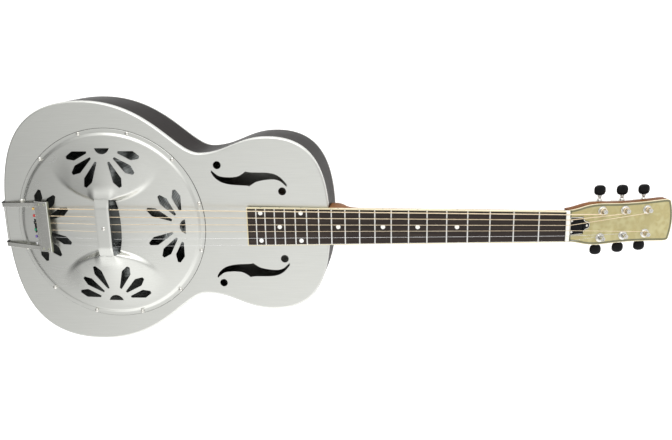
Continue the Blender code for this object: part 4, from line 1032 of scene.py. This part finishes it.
def make_tuner(number):
    """One tuner: washer, slotted post, button on its stem, and the can over the gears."""
    name = "tuner_%d_" % number
    side = 1 if number > 3 else -1
    wind = JOINTS[name + "wind"]["pos_m"]
    turn = JOINTS[name + "turn"]["pos_m"]
    key, post_body = name + "key", name + "post"
    place = HEAD.copy()
    place.translation = Vector(wind)

    bushing = turned(((0.0047, -0.002), (0.0062, 0.0), (0.0064, 0.0004), (0.0062, 0.0009), (0.0053, 0.0012),
                      (0.0050, 0.0020), (0.0045, 0.0023), (0.0033, 0.0023), (0.0033, -0.002)), 40, ring=True)
    piece(name + "washer", bushing, "nickel", "nickel", place, replaces=[name + "bushing"], sharp=40.0)

    profile = [(0.0030, -0.0242), (0.0030, 0.0020), (0.0029, 0.0024), (0.0026, 0.0034), (0.0026, 0.0066),
               (0.0029, 0.0076), (0.0030, 0.0080), (0.0030, 0.0092), (0.0027, 0.0098), (0.0020, POST_TOP)]
    post = bare_object(name + "capstan", turned(profile, 40))
    groove = extruded([(-0.0005, -0.004), (0.0005, -0.004), (0.0005, 0.004), (-0.0005, 0.004)], 0.0086, 0.012)
    groove.transform(Matrix.Rotation(0.7 + number, 4, "Z"))
    carve(post, groove)
    post.data.transform(place)
    finished(post, "nickel", "nickel", body=post_body, sharp=40.0)

    spot = HEAD.copy()
    spot.translation = Vector(turn)
    outward = spot @ along((0, side, 0), (0, 0, 0))
    reach = BUTTON_REACH
    collar = [(0.0024, 0.0060), (0.0024, 0.0100), (0.0030, 0.0104), (0.0030, 0.0112), (0.0024, 0.0118),
              (0.0021, reach - 0.0100), (0.0026, reach - 0.0090), (0.0034, reach - 0.0082),
              (0.0034, reach - 0.0074)]
    piece(name + "stem", turned(collar, 28), "nickel", "steel", outward, body=key, sharp=40.0)

    rows = ((0.0024, 0.0022, -0.0068), (0.0050, 0.0029, -0.0065), (0.0070, 0.0034, -0.0050),
            (0.0081, 0.0037, -0.0024), (0.0083, 0.0038, 0.0008), (0.0078, 0.0036, 0.0036),
            (0.0062, 0.0031, 0.0056), (0.0038, 0.0024, 0.0067), (0.0012, 0.0012, 0.0070))
    rings = []
    for a, b, z in smooth_path(rows, 3):
        ring = []
        for i in range(36):
            c, s = cos(2 * pi * i / 36), sin(2 * pi * i / 36)
            ring.append((a * abs(c) ** 0.85 * (1 if c > 0 else -1), b * abs(s) ** 0.85 * (1 if s > 0 else -1),
                         z + reach))
        rings.append(ring)
    piece(name + "knob", loft(rings), "black", "black_plastic", outward, body=key, replaces=[name + "button"],
          sharp=70.0)

    local = post_place(number)
    corners = [(local.x - 0.0070, local.y - 0.0090), (local.x + 0.0118, local.y - 0.0090),
               (local.x + 0.0118, local.y + 0.0090), (local.x - 0.0070, local.y + 0.0090)]
    can = slab(rounded(corners, 0.0030, 6), CAN_LOW, -OVERLAY - HEAD_WOOD, 0.0014, 4)
    sleeve = turned(((0.0040, 0.0060), (0.0040, 0.0108), (0.0036, 0.0114), (0.0026, 0.0114),
                     (0.0026, 0.0060)), 28, ring=True)
    sleeve.transform(HEAD.inverted() @ outward)
    piece(name + "can", merged([can, sleeve]), "nickel", "nickel", HEAD, replaces=[name + "housing"],
          sharp=40.0)


def make_tuners():
    for number in range(1, 7):
        make_tuner(number)
    spots = []
    for number in range(1, 7):
        local = post_place(number)
        spots.append(HEAD @ Matrix.Translation((local.x, local.y, CAN_LOW)) @ Matrix.Rotation(pi, 4, "X"))
    place_screws("housing_screws", spots, 0.0020, 0.0009)


# ---------- CAD pieces that keep their shape
def dress_cad():
    """Materials for the parts inside or behind, which keep their CAD meshes."""
    looks = {"soundwell": "well", "biscuit": "ebony", "saddle": "ebony", "biscuit_screw": "steel",
             "neck_stick": "mahogany", "fingerboard_wedge": "mahogany", "truss_rod": "steel",
             "truss_rod_nut": "brass", "tailpiece_bracket": "tail", "tailpiece_hinge_pin": "steel",
             "strap_button": "nickel"}
    for number in range(1, 7):
        looks["tuner_%d_post" % number] = "nickel"
        looks["tuner_%d_worm_shaft" % number] = "steel"
    for node, look in looks.items():
        made = frame["nodes"][node]
        for slot in made.material_slots:
            slot.material = LOOKS[look]


# ---------- floor, light, camera
STUDIO_LIGHT = 2.05
# brightness of the studio in each direction, as stops of (direction, share), along X times across Y
STUDIO_ALONG = ((-1.0, 0.14), (-0.75, 0.36), (-0.62, 0.45), (-0.5, 0.55), (-0.38, 0.80), (-0.3, 0.91),
                (-0.2, 0.98), (0.15, 0.95), (0.4, 0.80), (1.0, 0.80))
STUDIO_ACROSS = ((-1.0, 1.0), (-0.85, 1.0), (-0.7, 1.0), (-0.5, 0.77), (-0.35, 0.69), (-0.15, 0.62),
                 (0.0, 0.59), (0.12, 0.54), (0.28, 0.60), (0.42, 0.82), (0.65, 1.0), (0.85, 1.0), (1.0, 0.75))
CAMERA_PLACE, CAMERA_TURN, CAMERA_LENS = (0.42884, 0.25297, 1.05603), (-14.2374, 5.9143, -1.2397), 38.58


def area_light(name, location, target, size, power):
    data = bpy.data.lights.new(name, "AREA")
    data.shape = "RECTANGLE"
    data.size, data.size_y = size
    data.energy = power
    lamp = bpy.data.objects.new(name, data)
    lamp.location = location
    lamp.rotation_euler = (Vector(target) - Vector(location)).to_track_quat("-Z", "Y").to_euler()
    bpy.context.scene.collection.objects.link(lamp)


def make_floor():
    floor = bare_object("floor", extruded([(-4, -4), (4, -4), (4, 4), (-4, 4)], -0.02, 0.0))
    finish, tree, shader = shader_material("white_floor", 0.0, 0.6)
    shade = stretched_noise(tree, 3.0).outputs["Fac"]
    whites = ramp(tree, shade, (0.2, (0.90, 0.90, 0.90)), (0.8, (0.93, 0.93, 0.93)))
    feed(tree, shader, Base_Color=whites, Emission_Color=(1.0, 1.0, 1.0, 1.0), Emission_Strength=0.42)
    floor.data.materials.append(finish)
    floor.location.z = cad_box[0][2] - 0.0002


def make_studio():
    """Soft light from all round, brighter from some sides than others."""
    world = bpy.data.worlds.new("studio")
    world.use_nodes = True
    tree = world.node_tree
    direction = add(tree, "ShaderNodeTexCoord").outputs["Generated"]
    split = add(tree, "ShaderNodeSeparateXYZ", Vector=direction)
    both = add(tree, "ShaderNodeMix")
    both.data_type = "RGBA"
    both.blend_type = "MULTIPLY"
    put(tree, both.inputs[0], 1.0)
    for axis, stops, socket in (("X", STUDIO_ALONG, both.inputs[6]), ("Y", STUDIO_ACROSS, both.inputs[7])):
        place = calculated(tree, "ShaderNodeMath", "MULTIPLY_ADD", split.outputs[axis], 0.5, 0.5)
        grays = [((x + 1) / 2, (value, value, value)) for x, value in stops]
        put(tree, socket, ramp(tree, place, *grays))
    feed(tree, tree.nodes["Background"], Color=both.outputs[2], Strength=STUDIO_LIGHT)
    bpy.context.scene.world = world
    area_light("edge_strip", (0.3, 1.6, 0.9), (0.05, 0.1, 0.05), (1.6, 0.35), 8.0)


def make_camera():
    scene = bpy.context.scene
    scene.view_settings.view_transform = "Standard"
    data = bpy.data.cameras.new("camera")
    data.lens, data.sensor_width = CAMERA_LENS, 36.0
    camera = bpy.data.objects.new("camera", data)
    camera.location = CAMERA_PLACE
    camera.rotation_euler = [radians(angle) for angle in CAMERA_TURN]
    scene.collection.objects.link(camera)
    scene.camera = camera


make_body()
make_cover()
make_cover_screws()
make_cone()
make_tailpiece()
make_strings()
make_fingerboard()
make_nut()
make_neck()
make_headstock()
make_tuners()
dress_cad()
make_floor()
make_studio()
make_camera()
